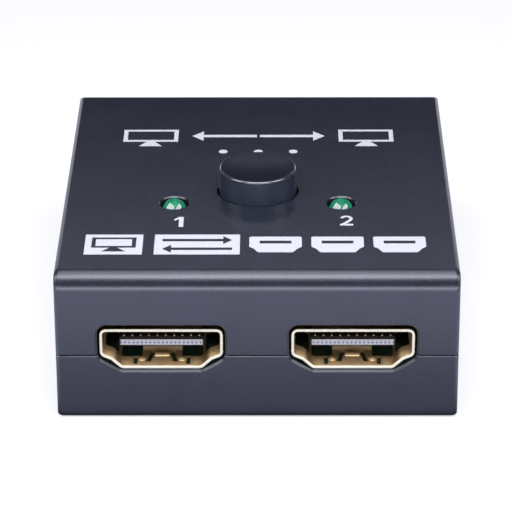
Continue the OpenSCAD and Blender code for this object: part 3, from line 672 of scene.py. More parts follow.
sine, _ = quarter_arc(14)
arcs = arc_heights(ROOF - TOP_R + TOP_R * sine, ROOF - SIDE_R + SIDE_R * sine[::2])
inside = [WALL, WALL, WALL - LIP_T - LIP_GAP, WALL - LIP_T - LIP_GAP, TOP_SEAM_EDGE, 0]
levels = [ROOF - WALL, LIP_TOP, LIP_TOP, SEAM_HIGH, SEAM_HIGH, SEAM_HIGH + TOP_SEAM_EDGE]
top_shell = skin(rounded_rectangles(
    [*inside, *edge_inset(arcs, ROOF - SIDE_R, SIDE_R)],
    [*inside, *edge_inset(arcs, ROOF - TOP_R, TOP_R)],
    [*levels, *arcs],
))
bore_top = screw_high[2] + BORE_PAST
under_roof = ROOF - WALL + SINK_IN
bosses = [
    lathe([TINY, BORE_R, BORE_R, BOSS_R, BOSS_R, TINY],
          [bore_top, bore_top, BOARD_TOP, BOARD_TOP, under_roof, under_roof], middle, 32)
    for middle in SCREWS
]
top_mesh = carve(mesh_of("case_top", [top_shell]), top_cutters)
top_mesh = merged(top_mesh, mesh_of("bosses", bosses))
add_piece("case_top", top_mesh, SLATE, replaces=["top_cover"], weighted=True)

# %% Bottom cover
HEAD_RECESS_R = 2.0
RECESS_EDGE = 0.1
SHANK_HOLE_R = 1.2
HEAD_SEAT = 1.7
POST_R = 3.1
arcs = arc_heights(BOTTOM_R - BOTTOM_R * sine[::-1], SIDE_R - SIDE_R * sine[::-2])
inside = [0, BOTTOM_SEAM_EDGE, WALL - LIP_T, WALL - LIP_T, WALL, WALL]
levels = [SEAM_LOW - BOTTOM_SEAM_EDGE, SEAM_LOW, SEAM_LOW, LIP_TOP, LIP_TOP, WALL]
bottom_shell = skin(rounded_rectangles(
    [*edge_inset(-arcs, -SIDE_R, SIDE_R), *inside],
    [*edge_inset(-arcs, -BOTTOM_R, BOTTOM_R), *inside],
    [*arcs, *levels],
))
sizes, depths = flared_profile(HEAD_RECESS_R, RECESS_EDGE, WALL + PAST)
recesses = [lathe(sizes, depths, middle, 40) for middle in SCREWS]
post_radius = [HEAD_RECESS_R, POST_R, POST_R, SHANK_HOLE_R, SHANK_HOLE_R, HEAD_RECESS_R]
post_height = np.repeat([WALL - SINK_IN, BOARD_LOW, HEAD_SEAT], 2)
posts = [lathe(post_radius, post_height, middle, 40, closed=True) for middle in SCREWS]
bottom_mesh = carve(mesh_of("case_bottom", [bottom_shell]), socket_cutters + recesses)
bottom_mesh = merged(bottom_mesh, mesh_of("posts", posts))
add_piece("case_bottom", bottom_mesh, SLATE, replaces=["bottom_cover"], weighted=True)

# %% [markdown]
# ## The screws
# Four zinc plated screws come up from below. The head is a low dome with a cross recess. The thread is one
# surface whose radius depends on height and angle: a triangle wave that climbs one pitch in each turn. A
# ridge swept along a helix would leave a seam on the shank. The two bars of the cross overlap, so they are
# cut one after the other.

# %% Screws
THREAD_PITCH = 0.5
THREAD_DEPTH = 0.12
SHANK_R = 1.0
CROWN = 0.35
RECESS_L, RECESS_W, RECESS_H = 1.9, 0.55, 0.7
TIP_L = 0.8
THREAD_STEPS = 150
head_low, shank_top = screw_low[2], screw_high[2]
spread = np.linspace(TINY, 1, 10)
angle = np.arange(32) * 2 * math.pi / 32
climb = np.linspace(HEAD_SEAT, shank_top, THREAD_STEPS)[:, None]
wave = abs((climb / THREAD_PITCH - angle / (2 * math.pi)) % 1 - 0.5) * 2
narrow = 1 - 0.5 * np.clip((climb - shank_top + TIP_L) / TIP_L, 0, 1)
thread_r = (SHANK_R - THREAD_DEPTH * wave) * narrow
thread = polar(thread_r, angle, climb)
cross = [
    box((-l, l), (-w, w), (0, PAST + RECESS_H))
    for l, w in ((RECESS_L / 2, RECESS_W / 2), (RECESS_W / 2, RECESS_L / 2 + TINY))
]
heads = [
    lathe([*SCREW_HEAD_R * spread, SCREW_HEAD_R, SHANK_R],
          [*(head_low + CROWN * spread**2), HEAD_SEAT, HEAD_SEAT], middle, 40)
    for middle in SCREWS
]
recess_cutters = [shifted(part, (*middle, head_low - PAST)) for middle in SCREWS for part in cross]
screw_mesh = mesh_of("heads", heads)
for bar in range(2):
    screw_mesh = carve(screw_mesh, recess_cutters[bar::2])
shanks = [shifted(skin(thread), (*middle, 0)) for middle in SCREWS]
screw_mesh = merged(screw_mesh, mesh_of("shanks", shanks))
add_piece("case_screws", screw_mesh, ZINC, replaces=["cover_screws"], sharp_angle=50)

# %% [markdown]
# ## The button
# The button is turned: a slightly tapered side, a small round rim, and a shallow dish for the finger. The
# same profile goes on below with the skirt and the collar that grips the switch's stem. Its side is painted
# lighter, with a fine mottle: a painted sheen of the light from the sides. Fingers have polished the rim, so
# the rim alone has a clear coat.

# %% Button
BUTTON_TOP_R = 4.75
BUTTON_RIM_R = 0.2
DISH = 0.3
DISH_RIM = 0.4
SKIRT_T = 1.0
BUTTON_ROOF = 1.1
STEM_R = 1.93
COLLAR_R = 2.8
button_base, button_top = button_low[2], button_high[2]
taper = (BUTTON_R - BUTTON_TOP_R) / (button_top - ROOF)
base_r = BUTTON_R + taper * (ROOF - button_base)
inside_top = button_top - BUTTON_ROOF
skirt_r = BUTTON_TOP_R - SKIRT_T
rim_sine, rim_cosine = quarter_arc(8)
share = np.linspace(1, TINY, 16)
button_radius = [
    TINY, STEM_R, STEM_R, COLLAR_R, COLLAR_R, skirt_r, skirt_r, base_r,
    *(BUTTON_TOP_R - BUTTON_RIM_R + BUTTON_RIM_R * rim_cosine), *((BUTTON_TOP_R - DISH_RIM) * share),
]
button_height = [
    inside_top, inside_top, button_base, button_base, inside_top, inside_top, button_base, button_base,
    *(button_top - BUTTON_RIM_R + BUTTON_RIM_R * rim_sine), *(button_top - DISH * (1 - share**2)),
]


def worn_rim(place):
    """Satin black plastic with a side painted lighter as painted sheen and a polished rim, told apart by
    radius and height.
    """
    look = moulded(rgb(14, 17, 25), rgb(24, 28, 37), grain=0.1, depth=0.002, rough=0.26, spread=0.02)(place)
    x, y = (place.mm(axis) - BUTTON_MIDDLE[axis] for axis in (0, 1))
    square = x * x + y * y
    radius = square.math("SQRT", square)
    height = place.mm(2)
    rim_r, rim_z = BUTTON_TOP_R - BUTTON_RIM_R, button_top - BUTTON_RIM_R
    # Painted sheen: the side is mixed to a lighter grey than the black of the top.
    side = (1 - height.ramp(rim_z - 0.1, rim_z)) * radius.ramp(BUTTON_TOP_R - DISH_RIM, rim_r)
    painted_side_sheen = place.noise(0.1).mix(rgb(31, 36, 46), rgb(49, 55, 68))
    look["Base Color"] = side.mix(look["Base Color"], painted_side_sheen)
    look["Coat Weight"] = radius.ramp(rim_r - 0.06, rim_r) * height.ramp(rim_z - 0.04, rim_z)
    return look


BUTTON_BLACK = finish("button_black", {"IOR": 1.5, "Coat IOR": 2.4, "Coat Roughness": 0.1}, worn_rim)
button_mesh = mesh_of("push_button", [lathe(button_radius, button_height, BUTTON_MIDDLE, 96)])
add_piece("push_button", button_mesh, BUTTON_BLACK, "button", ["button_cap"])

# %% [markdown]
# ## The lamps
# A lamp is one casting of clear green resin: a flange, a straight body and a half round dome. Two pale
# shapes show in it. They are the anvil and the post of its lead frame, stamped from one strip, so they are
# real plates here, and the resin in front of them lets light through. Behind them the resin is cloudy. A
# green core stands for that depth, because light that scatters inside a casting is slow to compute.

# %% Resin, plates and core
def cast_resin(place):
    """Green resin with faint streaks and a polished skin."""
    streak = place.stretch((1.0, 1.0, 0.3)).noise(0.8)
    return {
        "Base Color": streak.ramp(0.2, 0.8).mix(rgb(28, 140, 98), rgb(60, 176, 130)),
        "Roughness": 0.03 + 0.04 * place.noise(0.3),
    }


def cloudy_resin(place):
    """The depth of the resin, lighter and darker in soft clouds."""
    cloud = place.noise(0.9)
    green = cloud.ramp(0.3, 0.7).mix(rgb(3, 96, 62), rgb(26, 156, 108))
    return {"Base Color": green, "Roughness": 0.5 + 0.1 * cloud}


def bright_plate(place):
    """Silver plate, slightly clouded."""
    cloud = place.noise(0.3)
    return {"Base Color": cloud.mix(rgb(226, 230, 230), rgb(246, 249, 249)), "Roughness": 0.4 + 0.2 * cloud}


RESIN = finish("green_resin", {"IOR": 1.5, "Alpha": 0.2}, cast_resin)
RESIN_DEPTH = finish("resin_depth", {"IOR": 1.3}, cloudy_resin)
FRAME_SILVER = finish("frame_silver", {"Metallic": 0.1}, bright_plate)
print("Resin and plates made")

# %% Lamps
LAMP_TOP = corners("lamp_lens_1")[1][2]
FLANGE_R = 1.9
FLANGE_H = 1.0
FRAME_T = 0.2
SKIN_T = 0.06
LEAN_UP = np.array([0, 0.436, 0.9])
LEAN_OUT = np.array([0, -0.9, 0.436])
anvil = [[-0.95, -1.1], [-0.2, -1.1], [-0.08, 0.04], [0.0, 0.42], [-0.58, 0.94], [-1.0, 0.33]]
post = [[0.08, -1.1], [0.8, -1.1], [0.75, 0.2], [0.875, 0.46], [0.58, 0.83], [0.08, 0.08]]
dome_sine, dome_cosine = quarter_arc(20)


def lamp_body(low, flange_r, body_r, middle):
    """A flange, a straight body and a half round dome, turned as one profile."""
    dome = LAMP_TOP - LAMP_R
    radius = [TINY, flange_r, flange_r, body_r, *np.maximum(body_r * dome_cosine, TINY / 2)]
    height = [low, low, low + FLANGE_H, low + FLANGE_H, *(dome + body_r * dome_sine)]
    return lathe(radius, height, middle)


for number, middle in enumerate(LAMPS, 1):
    node = f"lamp_lens_{number}"
    low = corners(node)[0][2]
    centre = np.array([*middle, LAMP_TOP - LAMP_R])
    lens = mesh_of(node, [lamp_body(low, FLANGE_R, LAMP_R, middle)])
    add_piece(f"lamp_{number}", lens, RESIN, replaces=[node])
    points, blocks = lamp_body(low + SKIN_T, FLANGE_R - SKIN_T, LAMP_R - SKIN_T, middle)
    before = np.maximum((points - centre) @ LEAN_OUT + SKIN_T, 0)
    core = mesh_of("core", [(points - before[:, None] * LEAN_OUT, blocks)])
    add_piece(f"lamp_core_{number}", core, RESIN_DEPTH)
    plates = [
        prism(centre + np.array(flat) @ np.array([[1, 0, 0], LEAN_UP]), FRAME_T * LEAN_OUT)
        for flat in (anvil, post)
    ]
    add_piece(f"lamp_frame_{number}", mesh_of("plates", plates), FRAME_SILVER)

# %% [markdown]
# ## The sockets
# A socket's shell is sheet bent into a tube. A Solidify modifier could give it its thickness, but with a
# square rim. Here its section is a long loop: back along the inside, round the rim and along the outside,
# so one closed surface has both walls. Slots and windows are cut out. Two dimples, a lip and a ramp behind
# it stand up from the floor, where the plug is held, and four legs go through the board.

# %% Rim, cuts and legs of a shell
SHELL_L = corners("socket_shell_1")[1][1] - corners("socket_shell_1")[0][1]
RIM_R = 0.1
INSERT_L = 3.2
WINDOW_NEAR, WINDOW_FAR, WINDOW_FRONT, WINDOW_RISE = 2.4, 4.9, 2.6, 0.4
SLOT_NEAR, SLOT_FAR, SLOT_FRONT = 2.9, 3.4, 0.6
FINGER_FRONT, FINGER_BACK, FINGER_SLOT = (1.65, 1.2), (1.1, 4.1), 0.62
ROOF_NEAR, ROOF_FAR, ROOF_FRONT, ROOF_SLOT = 2.5, 4.3, 2.4, 0.3
SHOULDER_SPAN, SHOULDER_FRONT = (5.2, 6.85), 2.7
LEG_W, LEG_FRONT, LEG_REAR, LEG_OUT = 1.5, 3.2, 8.6, 0.9
window_back = SHELL_L - INSERT_L - 0.3


def mirrored(part):
    """A surface and its mirror image across the socket's middle."""
    return [part, (part[0] * [-1, 1, 1], part[1])]


rim_sine, rim_cosine = quarter_arc(4)
shell_sizes = [0, *RIM_R * (1 - rim_cosine), *(SHELL_T - RIM_R + RIM_R * rim_sine), SHELL_T]
shell_depths = [SHELL_L, *(RIM_R * (1 - rim_sine)), *(RIM_R * (1 - rim_cosine)), SHELL_L]
floor_span = (-SHELL_T - 0.1, 0.15)
roof_span = (SOCKET_H - 0.1, SOCKET_H + SHELL_T + 0.1)
(front_x, front_y), (back_x, back_y) = FINGER_FRONT, FINGER_BACK
slanted = np.array([
    [front_x - FINGER_SLOT / 2, front_y], [front_x + FINGER_SLOT / 2, front_y],
    [back_x + FINGER_SLOT / 2, back_y], [back_x - FINGER_SLOT / 2, back_y],
])
shell_cuts = [
    box((WINDOW_NEAR, WINDOW_FAR), (WINDOW_FRONT, window_back), (floor_span[0], WINDOW_RISE)),
    box((SLOT_NEAR, SLOT_FAR), (SLOT_FRONT, WINDOW_FRONT - TINY), floor_span),
    prism(np.insert(slanted, 2, floor_span[0], axis=1), [0, 0, floor_span[1] - floor_span[0]]),
    box(SHOULDER_SPAN, (SHOULDER_FRONT, window_back), (floor_span[0], SOCKET_H - SIDE_H + 0.25)),
    box((ROOF_NEAR, ROOF_FAR), (ROOF_FRONT, ROOF_FRONT + ROOF_SLOT), roof_span),
    box((ROOF_NEAR, ROOF_NEAR + ROOF_SLOT), (ROOF_FRONT + ROOF_SLOT + TINY, window_back), roof_span),
    box((ROOF_FAR - ROOF_SLOT, ROOF_FAR), (ROOF_FRONT + ROOF_SLOT + TINY, window_back), roof_span),
]
shell_cuts = [cut for part in shell_cuts for cut in mirrored(part)]
leg_low = BOARD_LOW - LEG_OUT - SOCKETS["1"][0][2]
legs = [
    leg for y in (LEG_FRONT, LEG_REAR)
    for leg in mirrored(box((SOCKET_W / 2 + TINY, SOCKET_W / 2 + SHELL_T - TINY), (y, y + LEG_W),
                            (leg_low, SOCKET_H - SIDE_H + SOCKET_R)))
]
print(len(shell_cuts), "cuts in each shell")

# %% Stampings and shells
spread = np.linspace(1, TINY, 8)
dimples = mirrored(lathe(DIMPLE_R * spread, DIMPLE_H * (1 - spread**2) - TINY / 2, DIMPLE_AT, 24))
angle = np.linspace(0, math.pi, 9)
along = np.array([-LIP_HALF, 0.1 - LIP_HALF, LIP_HALF - 0.1, LIP_HALF])[:, None]
size = LIP_R * np.array([0.3, 1, 1, 0.3])[:, None]
lip_rings = np.broadcast_arrays(along, LIP_Y - size * np.cos(angle), size * np.sin(angle) - TINY)
finger_lip = skin(np.stack(lip_rings, axis=-1))
rise_section = [[RISE_FRONT, -TINY], [RISE_BACK, -TINY], [RISE_TOP, RISE_H]]
finger_rise = prism(np.insert(rise_section, 0, -RISE_HALF, axis=1), [2 * RISE_HALF, 0, 0])
stampings = [*legs, *dimples, finger_lip, finger_rise]
for name, place in SOCKETS.items():
    tube = at_socket(skin(socket_rings(SOCKET_CORNERS, shell_sizes, shell_depths), closed=True), place)
    shell = carve(mesh_of("shell", [tube]), [at_socket(cut, place) for cut in shell_cuts])
    shell = merged(shell, mesh_of("stampings", [at_socket(part, place) for part in stampings]))
    node = "socket_shell_" + name
    add_piece("socket_" + name, shell, SHELL_GOLD, replaces=[node], weighted=True)

# %% [markdown]
# The tongue's nose is a thin pale plate on the front of the black tongue, a lit copy of the black moulding:
# its paleness is painted light on the front face. Its row of small dark triangles is painted shade between
# the contact ends: a mask, a triangle wave along X that is compared with the height.

# %% Tongue noses
TONGUE_W, TONGUE_INSET, TONGUE_LOW, TONGUE_HIGH = 9.8, 1.2, 2.25, 2.99
SHADE_PITCH = 0.5
NOSE_T = 0.06
nose_low = SOCKETS["1"][0][2] + TONGUE_LOW


def lit_nose_with_notch_shade(place):
    """Pale plastic as painted light, with a dark triangle of painted shade in every pitch, wide at the
    bottom.
    """
    step = place.mm(0) * (1 / SHADE_PITCH)
    ridge = 1 - abs(2 * step.math("FRACT", step) - 1)
    level = (place.mm(2) - nose_low) * (1 / (TONGUE_HIGH - TONGUE_LOW))
    # Painted shade: a dark triangle between each pair of contact ends.
    notch_shade = (ridge - 2.2 * abs(level - 0.45)).ramp(0.3, 0.5)
    fine = place.noise(0.08)
    return {
        # The pale colour is painted light on the lit front face.
        "Base Color": notch_shade.mix(fine.mix(rgb(188, 189, 190), rgb(208, 209, 208)), rgb(124, 124, 140)),
        "Roughness": 0.4 + 0.1 * fine,
        "Normal": (fine - notch_shade).bump(0.01),
    }


NOSE = finish("pale_nose", {"IOR": 1.5}, lit_nose_with_notch_shade)
nose_outline = rectangle((-TONGUE_W / 2, TONGUE_W / 2), (TONGUE_LOW, TONGUE_HIGH))
nose_rings = [
    np.insert(grown(nose_outline, -inset), 1, TONGUE_INSET - out, axis=1)
    for inset, out in ((0, -TINY), (0, NOSE_T / 2), (NOSE_T / 2, NOSE_T))
]
for name, place in SOCKETS.items():
    nose = mesh_of("nose", [at_socket(skin(np.stack(nose_rings)), place)])
    add_piece(f"tongue_nose_{name}", nose, NOSE, sharp_angle=30)

# %% [markdown]
# The upper contacts end in small rounded tips behind the nose. Each is a low dome, a turned parabola.

# %% Contact tips
TIP_R, TIP_H, TIP_Y, TIP_Z = 0.13, 0.12, 1.62, 3.27
TIP_PITCH, TIP_COUNT = 1.0, 10
TIP_GOLD = finish(
    "tip_gold", {"Metallic": 0.5}, plated(rgb(226, 208, 172), rgb(240, 226, 196), 0.06, EVEN, 0.3, 0.05))
spread = np.linspace(1, TINY, 6)
tip_x = (np.arange(TIP_COUNT) - (TIP_COUNT - 1) / 2) * TIP_PITCH
tips = [lathe(TIP_R * spread, TIP_Z + TIP_H * (1 - spread**2), (x, TIP_Y), 16) for x in tip_x]
for name, place in SOCKETS.items():
    tip_mesh = mesh_of("tips", [at_socket(tip, place) for tip in tips])
    add_piece(f"contact_tips_{name}", tip_mesh, TIP_GOLD)

# %% [markdown]
# ## The return spring
# The spring is a round wire along a helix. A frame of two directions, one outwards and one across the wire,
# carries the wire's circle along the path. The share of its height that it keeps with the button down is
# worked out here.

# %% Spring
SPRING_TURNS = 7
SPRING_WIRE = 0.26
spring_low, spring_high = corners("switch_spring")
coil_r = (spring_high[0] - spring_low[0] - SPRING_WIRE) / 2
turn = np.linspace(0, 2 * math.pi * SPRING_TURNS, SPRING_TURNS * 28)[:, None]
rise = (spring_high[2] - spring_low[2] - SPRING_WIRE) / (2 * math.pi * SPRING_TURNS)
out = np.hstack([np.cos(turn), np.sin(turn), 0 * turn])
path = coil_r * out + np.hstack([0 * turn, 0 * turn, spring_low[2] + SPRING_WIRE / 2 + rise * turn])
along = unit(np.hstack([-coil_r * np.sin(turn), coil_r * np.cos(turn), rise + 0 * turn]))
across = np.cross(along, out)
around = (np.arange(10) * 2 * math.pi / 10)[None, :, None]
wire = path[:, None] + SPRING_WIRE / 2 * (np.cos(around) * out[:, None] + np.sin(around) * across[:, None])
spring_mesh = mesh_of("return_spring", [shifted(skin(wire), (*BUTTON_MIDDLE, 0))])
spring = add_piece(
    "return_spring", spring_mesh, WIRE_STEEL,
    replaces=["switch_spring"], sharp_angle=60)
press = next(joint for joint in frame["record"]["behaviour"]["joints"] if joint["name"] == "button_press")
spring_keep = 1 - press["range_m"][1] / ((spring_high[2] - spring_low[2]) * MM)
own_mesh(spring)
print("The spring keeps", round(spring_keep, 3), "of its height")

# %% [markdown]
# ## Prints
# The white marks are pad printed ink, a film too thin to feel, slightly chalky and a touch uneven. They are
# thin solids and not part of the case's finish, so their edges stay sharp from close by. Numbers name the
# two sockets. The other marks are plain pictures: displays, arrows both ways, sockets.

# %% Ink
INK_T = 0.015


def ink_film(place):
    """White ink with a faint speckle where the grain below shows through."""
    speckle = place.noise(0.12)
    return {
        "Base Color": speckle.mix(rgb(190, 192, 196), rgb(204, 206, 210)),
        "Roughness": 0.5 + 0.1 * speckle,
        "Normal": speckle.bump(0.003),
    }


INK = finish("white_ink", {"IOR": 1.45}, ink_film)
print("Ink made")

# %% Shapes of ink
def slab(points, thick=INK_T):
    """A flat shape on the roof, as thick as the ink."""
    return prism(np.insert(np.array(points, float), 2, ROOF, axis=1), [0, 0, thick])


def band(inner, outer):
    """A closed line on the roof between two outlines with equally many points."""
    levels = zip((inner, outer, outer, inner), np.repeat((ROOF, ROOF + INK_T), 2))
    return skin(np.stack([np.insert(flat, 2, z, axis=1) for flat, z in levels]), closed=True)


def stroke(points, width):
    """A line along points on the roof, each moved half a width to the left and to the right of the path."""
    points = np.array(points, float)
    side = turn_left(unit(np.gradient(points, axis=0))) * width / 2
    return slab(np.concatenate([points - side, (points + side)[::-1]]))


def display(x, y, line=0.55):
    """A screen, which is a closed line round a rectangle, with a tapered stand below it."""
    foot = (y[1] - y[0]) * 0.27
    screen = rectangle(x, (y[0] + foot, y[1]))
    stand = np.array([[-1.5, 0], [1.5, 0], [0.5, foot], [-0.5, foot]]) + [sum(x) / 2, y[0]]
    return [band(grown(screen, -line), screen), slab(stand)]


def arrow(tail, tip, y, line, head):
    """A straight arrow along X with a line width and a head twice as wide as it is long."""
    way = math.copysign(1, tip - tail)
    neck = tip - way * head
    outline = np.array([
        [tail, y - line / 2], [neck, y - line / 2], [neck, y - head], [tip, y],
        [neck, y + head], [neck, y + line / 2], [tail, y + line / 2],
    ])
    return slab(outline if way > 0 else outline[::-1])


# %% Numbers
NUMBER_1 = (-10.15, -9.02), (-14.51, -11.67)
NUMBER_2 = (10.04, 11.65), (-14.13, -11.31)


def placed(points, area):
    """Points of a unit square stretched to an area."""
    (x0, x1), (y0, y1) = area
    return np.array([x0, y0]) + np.array(points, float) * [x1 - x0, y1 - y0]


one = placed([[0.5, 0], [1, 0], [1, 1], [0.5, 1], [0, 0.78], [0, 0.62], [0.5, 0.79]], NUMBER_1)
swing = np.radians(np.linspace(165, -40, 18))
curve = np.stack([0.5 + 0.36 * np.cos(swing), 0.69 + 0.23 * np.sin(swing)], axis=-1)
two = placed(np.concatenate([curve, [[0.5, 0.3], [0.2, 0.12]]]), NUMBER_2)
foot = placed(rectangle((0.0, 1.0), (0.0, 0.16)), NUMBER_2)
numbers = mesh_of("numbers", [slab(one), stroke(two, 0.4), slab(foot, thick=INK_T + 0.002)])
add_piece("print_numbers", numbers, INK, sharp_angle=30)

# %% Pictures
TITLE_Y = (9.9, 15.2)
FRONT_Y = (-22.2, -16.7)
SCREENS_X = (-17.5, -10.4), (10.4, 17.5)
ARROW_X, ARROW_LINE, ARROW_HEAD = (0.2, 8.6), 0.75, 1.5
DOTS_X, DOT_Y, DOT_R = (-4.5, 0.0, 4.5), 8.15, 0.55
PLATES_X = (-20.7, -13.75), (-12.35, -2.08)
PLATE_EDGE = 0.8
CUT_ARROW_X, CUT_ARROW_Y = (-11.4, -3.0), 1.2
ICONS_X = (2.2, 9.65, 17.1)
ICON_SCALE = np.array([0.45, 0.95])
ICON_TONGUE = (-1.9, 1.9), (0.25, 1.05)
title_y = sum(TITLE_Y) / 2 + 0.6
title = [part for x in SCREENS_X for part in display(x, TITLE_Y)]
title += [arrow(way * ARROW_X[0], way * ARROW_X[1], title_y, ARROW_LINE, ARROW_HEAD) for way in (-1, 1)]
dot = rounded_outline(rectangle((-DOT_R, DOT_R), (-DOT_R, DOT_R)), 0.5, 0.5)
title += [slab(dot + [x, DOT_Y]) for x in DOTS_X]
add_piece("print_title", mesh_of("title", title), INK, sharp_angle=30)

# %% Pictures with shapes cut out
def cut_out(mesh, part):
    """Ink with a shape cut out of it, which is made taller on both sides first."""
    points, faces = part
    roof = np.array([0, 0, ROOF])
    return carve(mesh, [((points - roof) * [1, 1, 12] + roof - [0, 0, 5 * INK_T], faces)])


front_y = sum(FRONT_Y) / 2
(left, right), (low, high) = PLATES_X[0], FRONT_Y
cuts = display((left + PLATE_EDGE, right - PLATE_EDGE), (low + PLATE_EDGE, high - PLATE_EDGE), 0.5)
cuts.append(arrow(*CUT_ARROW_X, front_y + CUT_ARROW_Y, 0.7, 1.1))
cuts.append(arrow(*CUT_ARROW_X[::-1], front_y - CUT_ARROW_Y, 0.7, 1.1))
front_print = mesh_of("plates", [slab(rectangle(x, FRONT_Y)) for x in PLATES_X])
for cut in cuts:
    front_print = cut_out(front_print, cut)
icon = rounded_outline((SOCKET_CORNERS - [0, SOCKET_H / 2]) * ICON_SCALE, 0.3, 0.2)
for x in ICONS_X:
    tongue = slab(rectangle(*ICON_TONGUE) + [x, front_y])
    front_print = merged(front_print, cut_out(mesh_of("icon", [slab(icon + [x, front_y])]), tongue))
add_piece("print_front", front_print, INK, sharp_angle=30)

# %% [markdown]
# ## Finishes for the pieces that stay as they are
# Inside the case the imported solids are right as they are. They only need their finishes.

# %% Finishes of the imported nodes
KEPT = {
    "main_board": BOARD, "switch_case": INNER_BLACK, "switch_frame": ZINC, "switch_plunger": INNER_BLACK,
    "latch_wire": WIRE_STEEL, "contact_bridges": CONTACT_GOLD, "switch_terminals": TIN,
    "lamp_leads_1": TIN, "lamp_leads_2": TIN, "switch_chip": INNER_BLACK, "chip_leads": TIN,
    "resistors": RESISTOR, "capacitors": CAPACITOR,
}
for name in SOCKETS:
    KEPT["socket_insert_" + name] = INNER_BLACK
    KEPT["socket_contacts_" + name] = CONTACT_GOLD
for node, material in KEPT.items():
    data = frame["nodes"][node].data
    data.materials.clear()
    data.materials.append(material)
print(len(KEPT), "packed nodes have a finish")

# %% [markdown]
# ## Studio
# The box was photographed on white, from the front and from 26 degrees above. A long lens far away keeps
# its sides nearly parallel. Two softboxes hang overhead, the front one brighter, and their mirror image is
# the light band on the front edge. A long low one in front draws the thin blue line below that band. One
# high on each side lights the flanks, and three dim ones behind keep the edges there from going black.

# %% Camera
FOCAL_PX = 2909.4
IMAGE_PX = 512
SENSOR = 36.0
ELEVATION = math.radians(25.845)
YAW = math.radians(0.391)
ROLL = math.radians(-0.192)
DISTANCE = 371.27
AIM = np.array([-0.285, 0.0, 8.041])


def placed_at(obj, right, up, back, place):
    """Puts a camera or a lamp at a place in millimetres, with its own axes along three directions."""
    turned = np.eye(4)
    turned[:3, :3] = np.stack([right, up, back], axis=1)
    turned[:3, 3] = np.array(place) * MM
    obj.matrix_world = Matrix(turned.tolist())
    bpy.context.scene.collection.objects.link(obj)


back = np.array([
    math.sin(YAW) * math.cos(ELEVATION), -math.cos(YAW) * math.cos(ELEVATION), math.sin(ELEVATION)
])
level = unit(np.cross(-back, [0, 0, 1]))
upright = np.cross(back, level)
right = math.cos(ROLL) * level + math.sin(ROLL) * upright
up = -math.sin(ROLL) * level + math.cos(ROLL) * upright
camera = bpy.data.objects.new("camera", bpy.data.cameras.new("camera"))
camera.data.sensor_width = SENSOR
camera.data.lens = FOCAL_PX * SENSOR / IMAGE_PX
camera.data.clip_start = 0.01
placed_at(camera, right, up, back, AIM + back * DISTANCE)
bpy.context.scene.camera = camera
bpy.context.scene.view_settings.view_transform = "Standard"
print("Lens in mm:", round(camera.data.lens, 1))

# %% Softboxes
WATTS = 4.0


def softbox(name, place, target, size, strength, tint=(1, 1, 1)):
    """A flat light of a size in millimetres, turned to a target, as bright as strength times white.

    A square metre of it needs WATTS to look white.
    """
    data = bpy.data.lights.new(name, "AREA")
    data.shape = "RECTANGLE"
    data.size, data.size_y = size[0] * MM, size[1] * MM
    data.energy = strength * WATTS * data.size * data.size_y
    data.color = tint
    back = unit(np.array(place, float) - np.array(target, float))
    side = unit(np.cross([0, 1, 0] if abs(back[2]) > 0.9 else [0, 0, 1], back))
    light = bpy.data.objects.new(name, data)
    light.visible_camera = False
    placed_at(light, side, np.cross(back, side), back, place)


COOL = (0.94, 0.96, 1.1)
BLUE = (0.9, 0.95, 1.15)
softbox("overhead_front", (0, -56, 110), (0, -56, 0), (86, 54), 4.0, COOL)
softbox("overhead_back", (0, -3, 110), (0, -3, 0), (86, 52), 1.6, COOL)
softbox("back_high", (0, 120, 103), (0, 0, 20), (160, 24), 0.5, COOL)
softbox("front_low", (0, -260, 24), (0, 0, 12), (420, 44), 3.6, BLUE)
for side, word in ((-1, "left"), (1, "right")):
    softbox("side_" + word, (175 * side, -60, 178), (0, 0, 10), (130, 120), 3.6)
    softbox("back_" + word, (112 * side, 250, 70), (0, 0, 15), (80, 100), 1.0)
print(len(bpy.data.lights), "softboxes")

# %% Floor and surroundings
FLOOR_HALF = 1500.0
WHITE = (1.0, 1.0, 1.0, 1.0)
FAR_GLOW = (0.95, 0.98, 1.35, 1.0)
NEAR_GLOW = (0.36, 0.37, 0.5, 1.0)
CORNER_GLOW = (0.12, 0.12, 0.16, 1.0)


def ray_kinds(tree):
    """For a shader tree: 1 for rays from the camera or through glass, and 1 for mirrored rays."""
    paths = tree.nodes.new("ShaderNodeLightPath")
    names = ("Is Camera Ray", "Is Transmission Ray", "Is Glossy Ray")
    from_camera, through, mirrored_ray = (Wire(tree, paths.outputs[name]) for name in names)
    return from_camera.larger(through), mirrored_ray


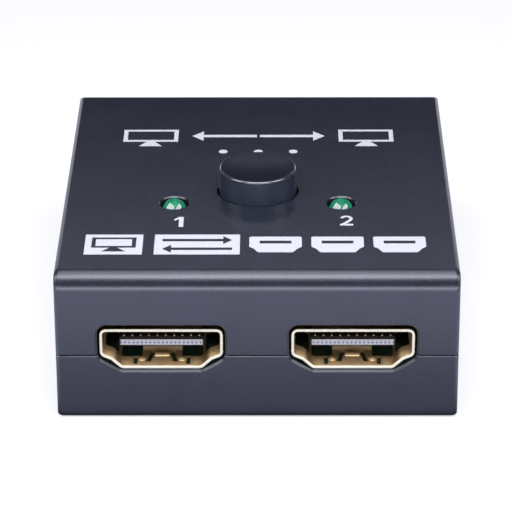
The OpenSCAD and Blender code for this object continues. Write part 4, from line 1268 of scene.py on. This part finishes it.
def white_floor():
    """A floor that looks white but keeps the object's shadow, and that throws little light back up.

    Mirrored in the object it is dark close to the case, as a floor is that the case keeps the light from.
    """
    material = bpy.data.materials.new("white_floor")
    material.use_nodes = True
    tree = material.node_tree
    tree.nodes.remove(tree.nodes["Principled BSDF"])
    seen, mirrored_ray = ray_kinds(tree)
    place = Wire(tree, tree.nodes.new("ShaderNodeTexCoord").outputs["Object"])
    aside = abs(place.mm(0)) - HALF_W
    beside = aside.larger(abs(place.mm(1)) - HALF_D)
    near = beside.ramp(0.5, 3.0).mix(CORNER_GLOW, NEAR_GLOW)
    bright = beside.ramp(5.0, 33.0).larger(aside.ramp(0.0, 12.0)).mix(near, FAR_GLOW)
    glow = seen.add("ShaderNodeEmission", None, {"Color": bright, "Strength": 1.0})
    lit = seen.add("ShaderNodeBsdfDiffuse", None, {"Color": (0.5, 0.5, 0.5, 1)})
    pale = seen.add("ShaderNodeEmission", None, {"Color": WHITE, "Strength": 0.6})
    shown = seen.add("ShaderNodeAddShader", None, {0: lit, 1: pale})
    dull = seen.add("ShaderNodeBsdfDiffuse", None, {"Color": (0.4, 0.4, 0.4, 1)})
    unseen = seen.add("ShaderNodeMixShader", None, {0: mirrored_ray, 1: dull, 2: glow})
    surface = seen.add("ShaderNodeMixShader", None, {0: seen, 1: unseen, 2: shown})
    tree.links.new(surface.socket, tree.nodes["Material Output"].inputs["Surface"])
    return material


floor_mesh = bpy.data.meshes.new("floor")
floor_corners = np.insert(rectangle((-1, 1), (-1, 1)), 2, 0, axis=1) * FLOOR_HALF * MM
floor_mesh.from_pydata(floor_corners.tolist(), [], [[0, 1, 2, 3]])
floor_mesh.materials.append(white_floor())
floor = bpy.data.objects.new("floor", floor_mesh)
bpy.context.scene.collection.objects.link(floor)

world = bpy.data.worlds.new("studio")
world.use_nodes = True
bpy.context.scene.world = world
sky = world.node_tree
seen, mirrored_ray = ray_kinds(sky)
direction = Wire(sky, sky.nodes.new("ShaderNodeTexCoord").outputs["Generated"])
horizon = (1 - direction.part(2).ramp(0.04, 0.14)) * (1 - 0.9 * direction.part(1).ramp(-0.2, 0.3))
mirrored_sky = horizon.mix((0.02, 0.02, 0.025, 1), WHITE)
front_fill = direction.part(1).ramp(-0.3, 0.3).mix((0.5, 0.5, 0.55, 1), (0.05, 0.05, 0.06, 1))
fill = mirrored_ray.mix(front_fill, mirrored_sky)
fill = seen.mix(fill, WHITE)
sky.links.new(fill.socket, sky.nodes["Background"].inputs["Color"])
print("Studio ready")
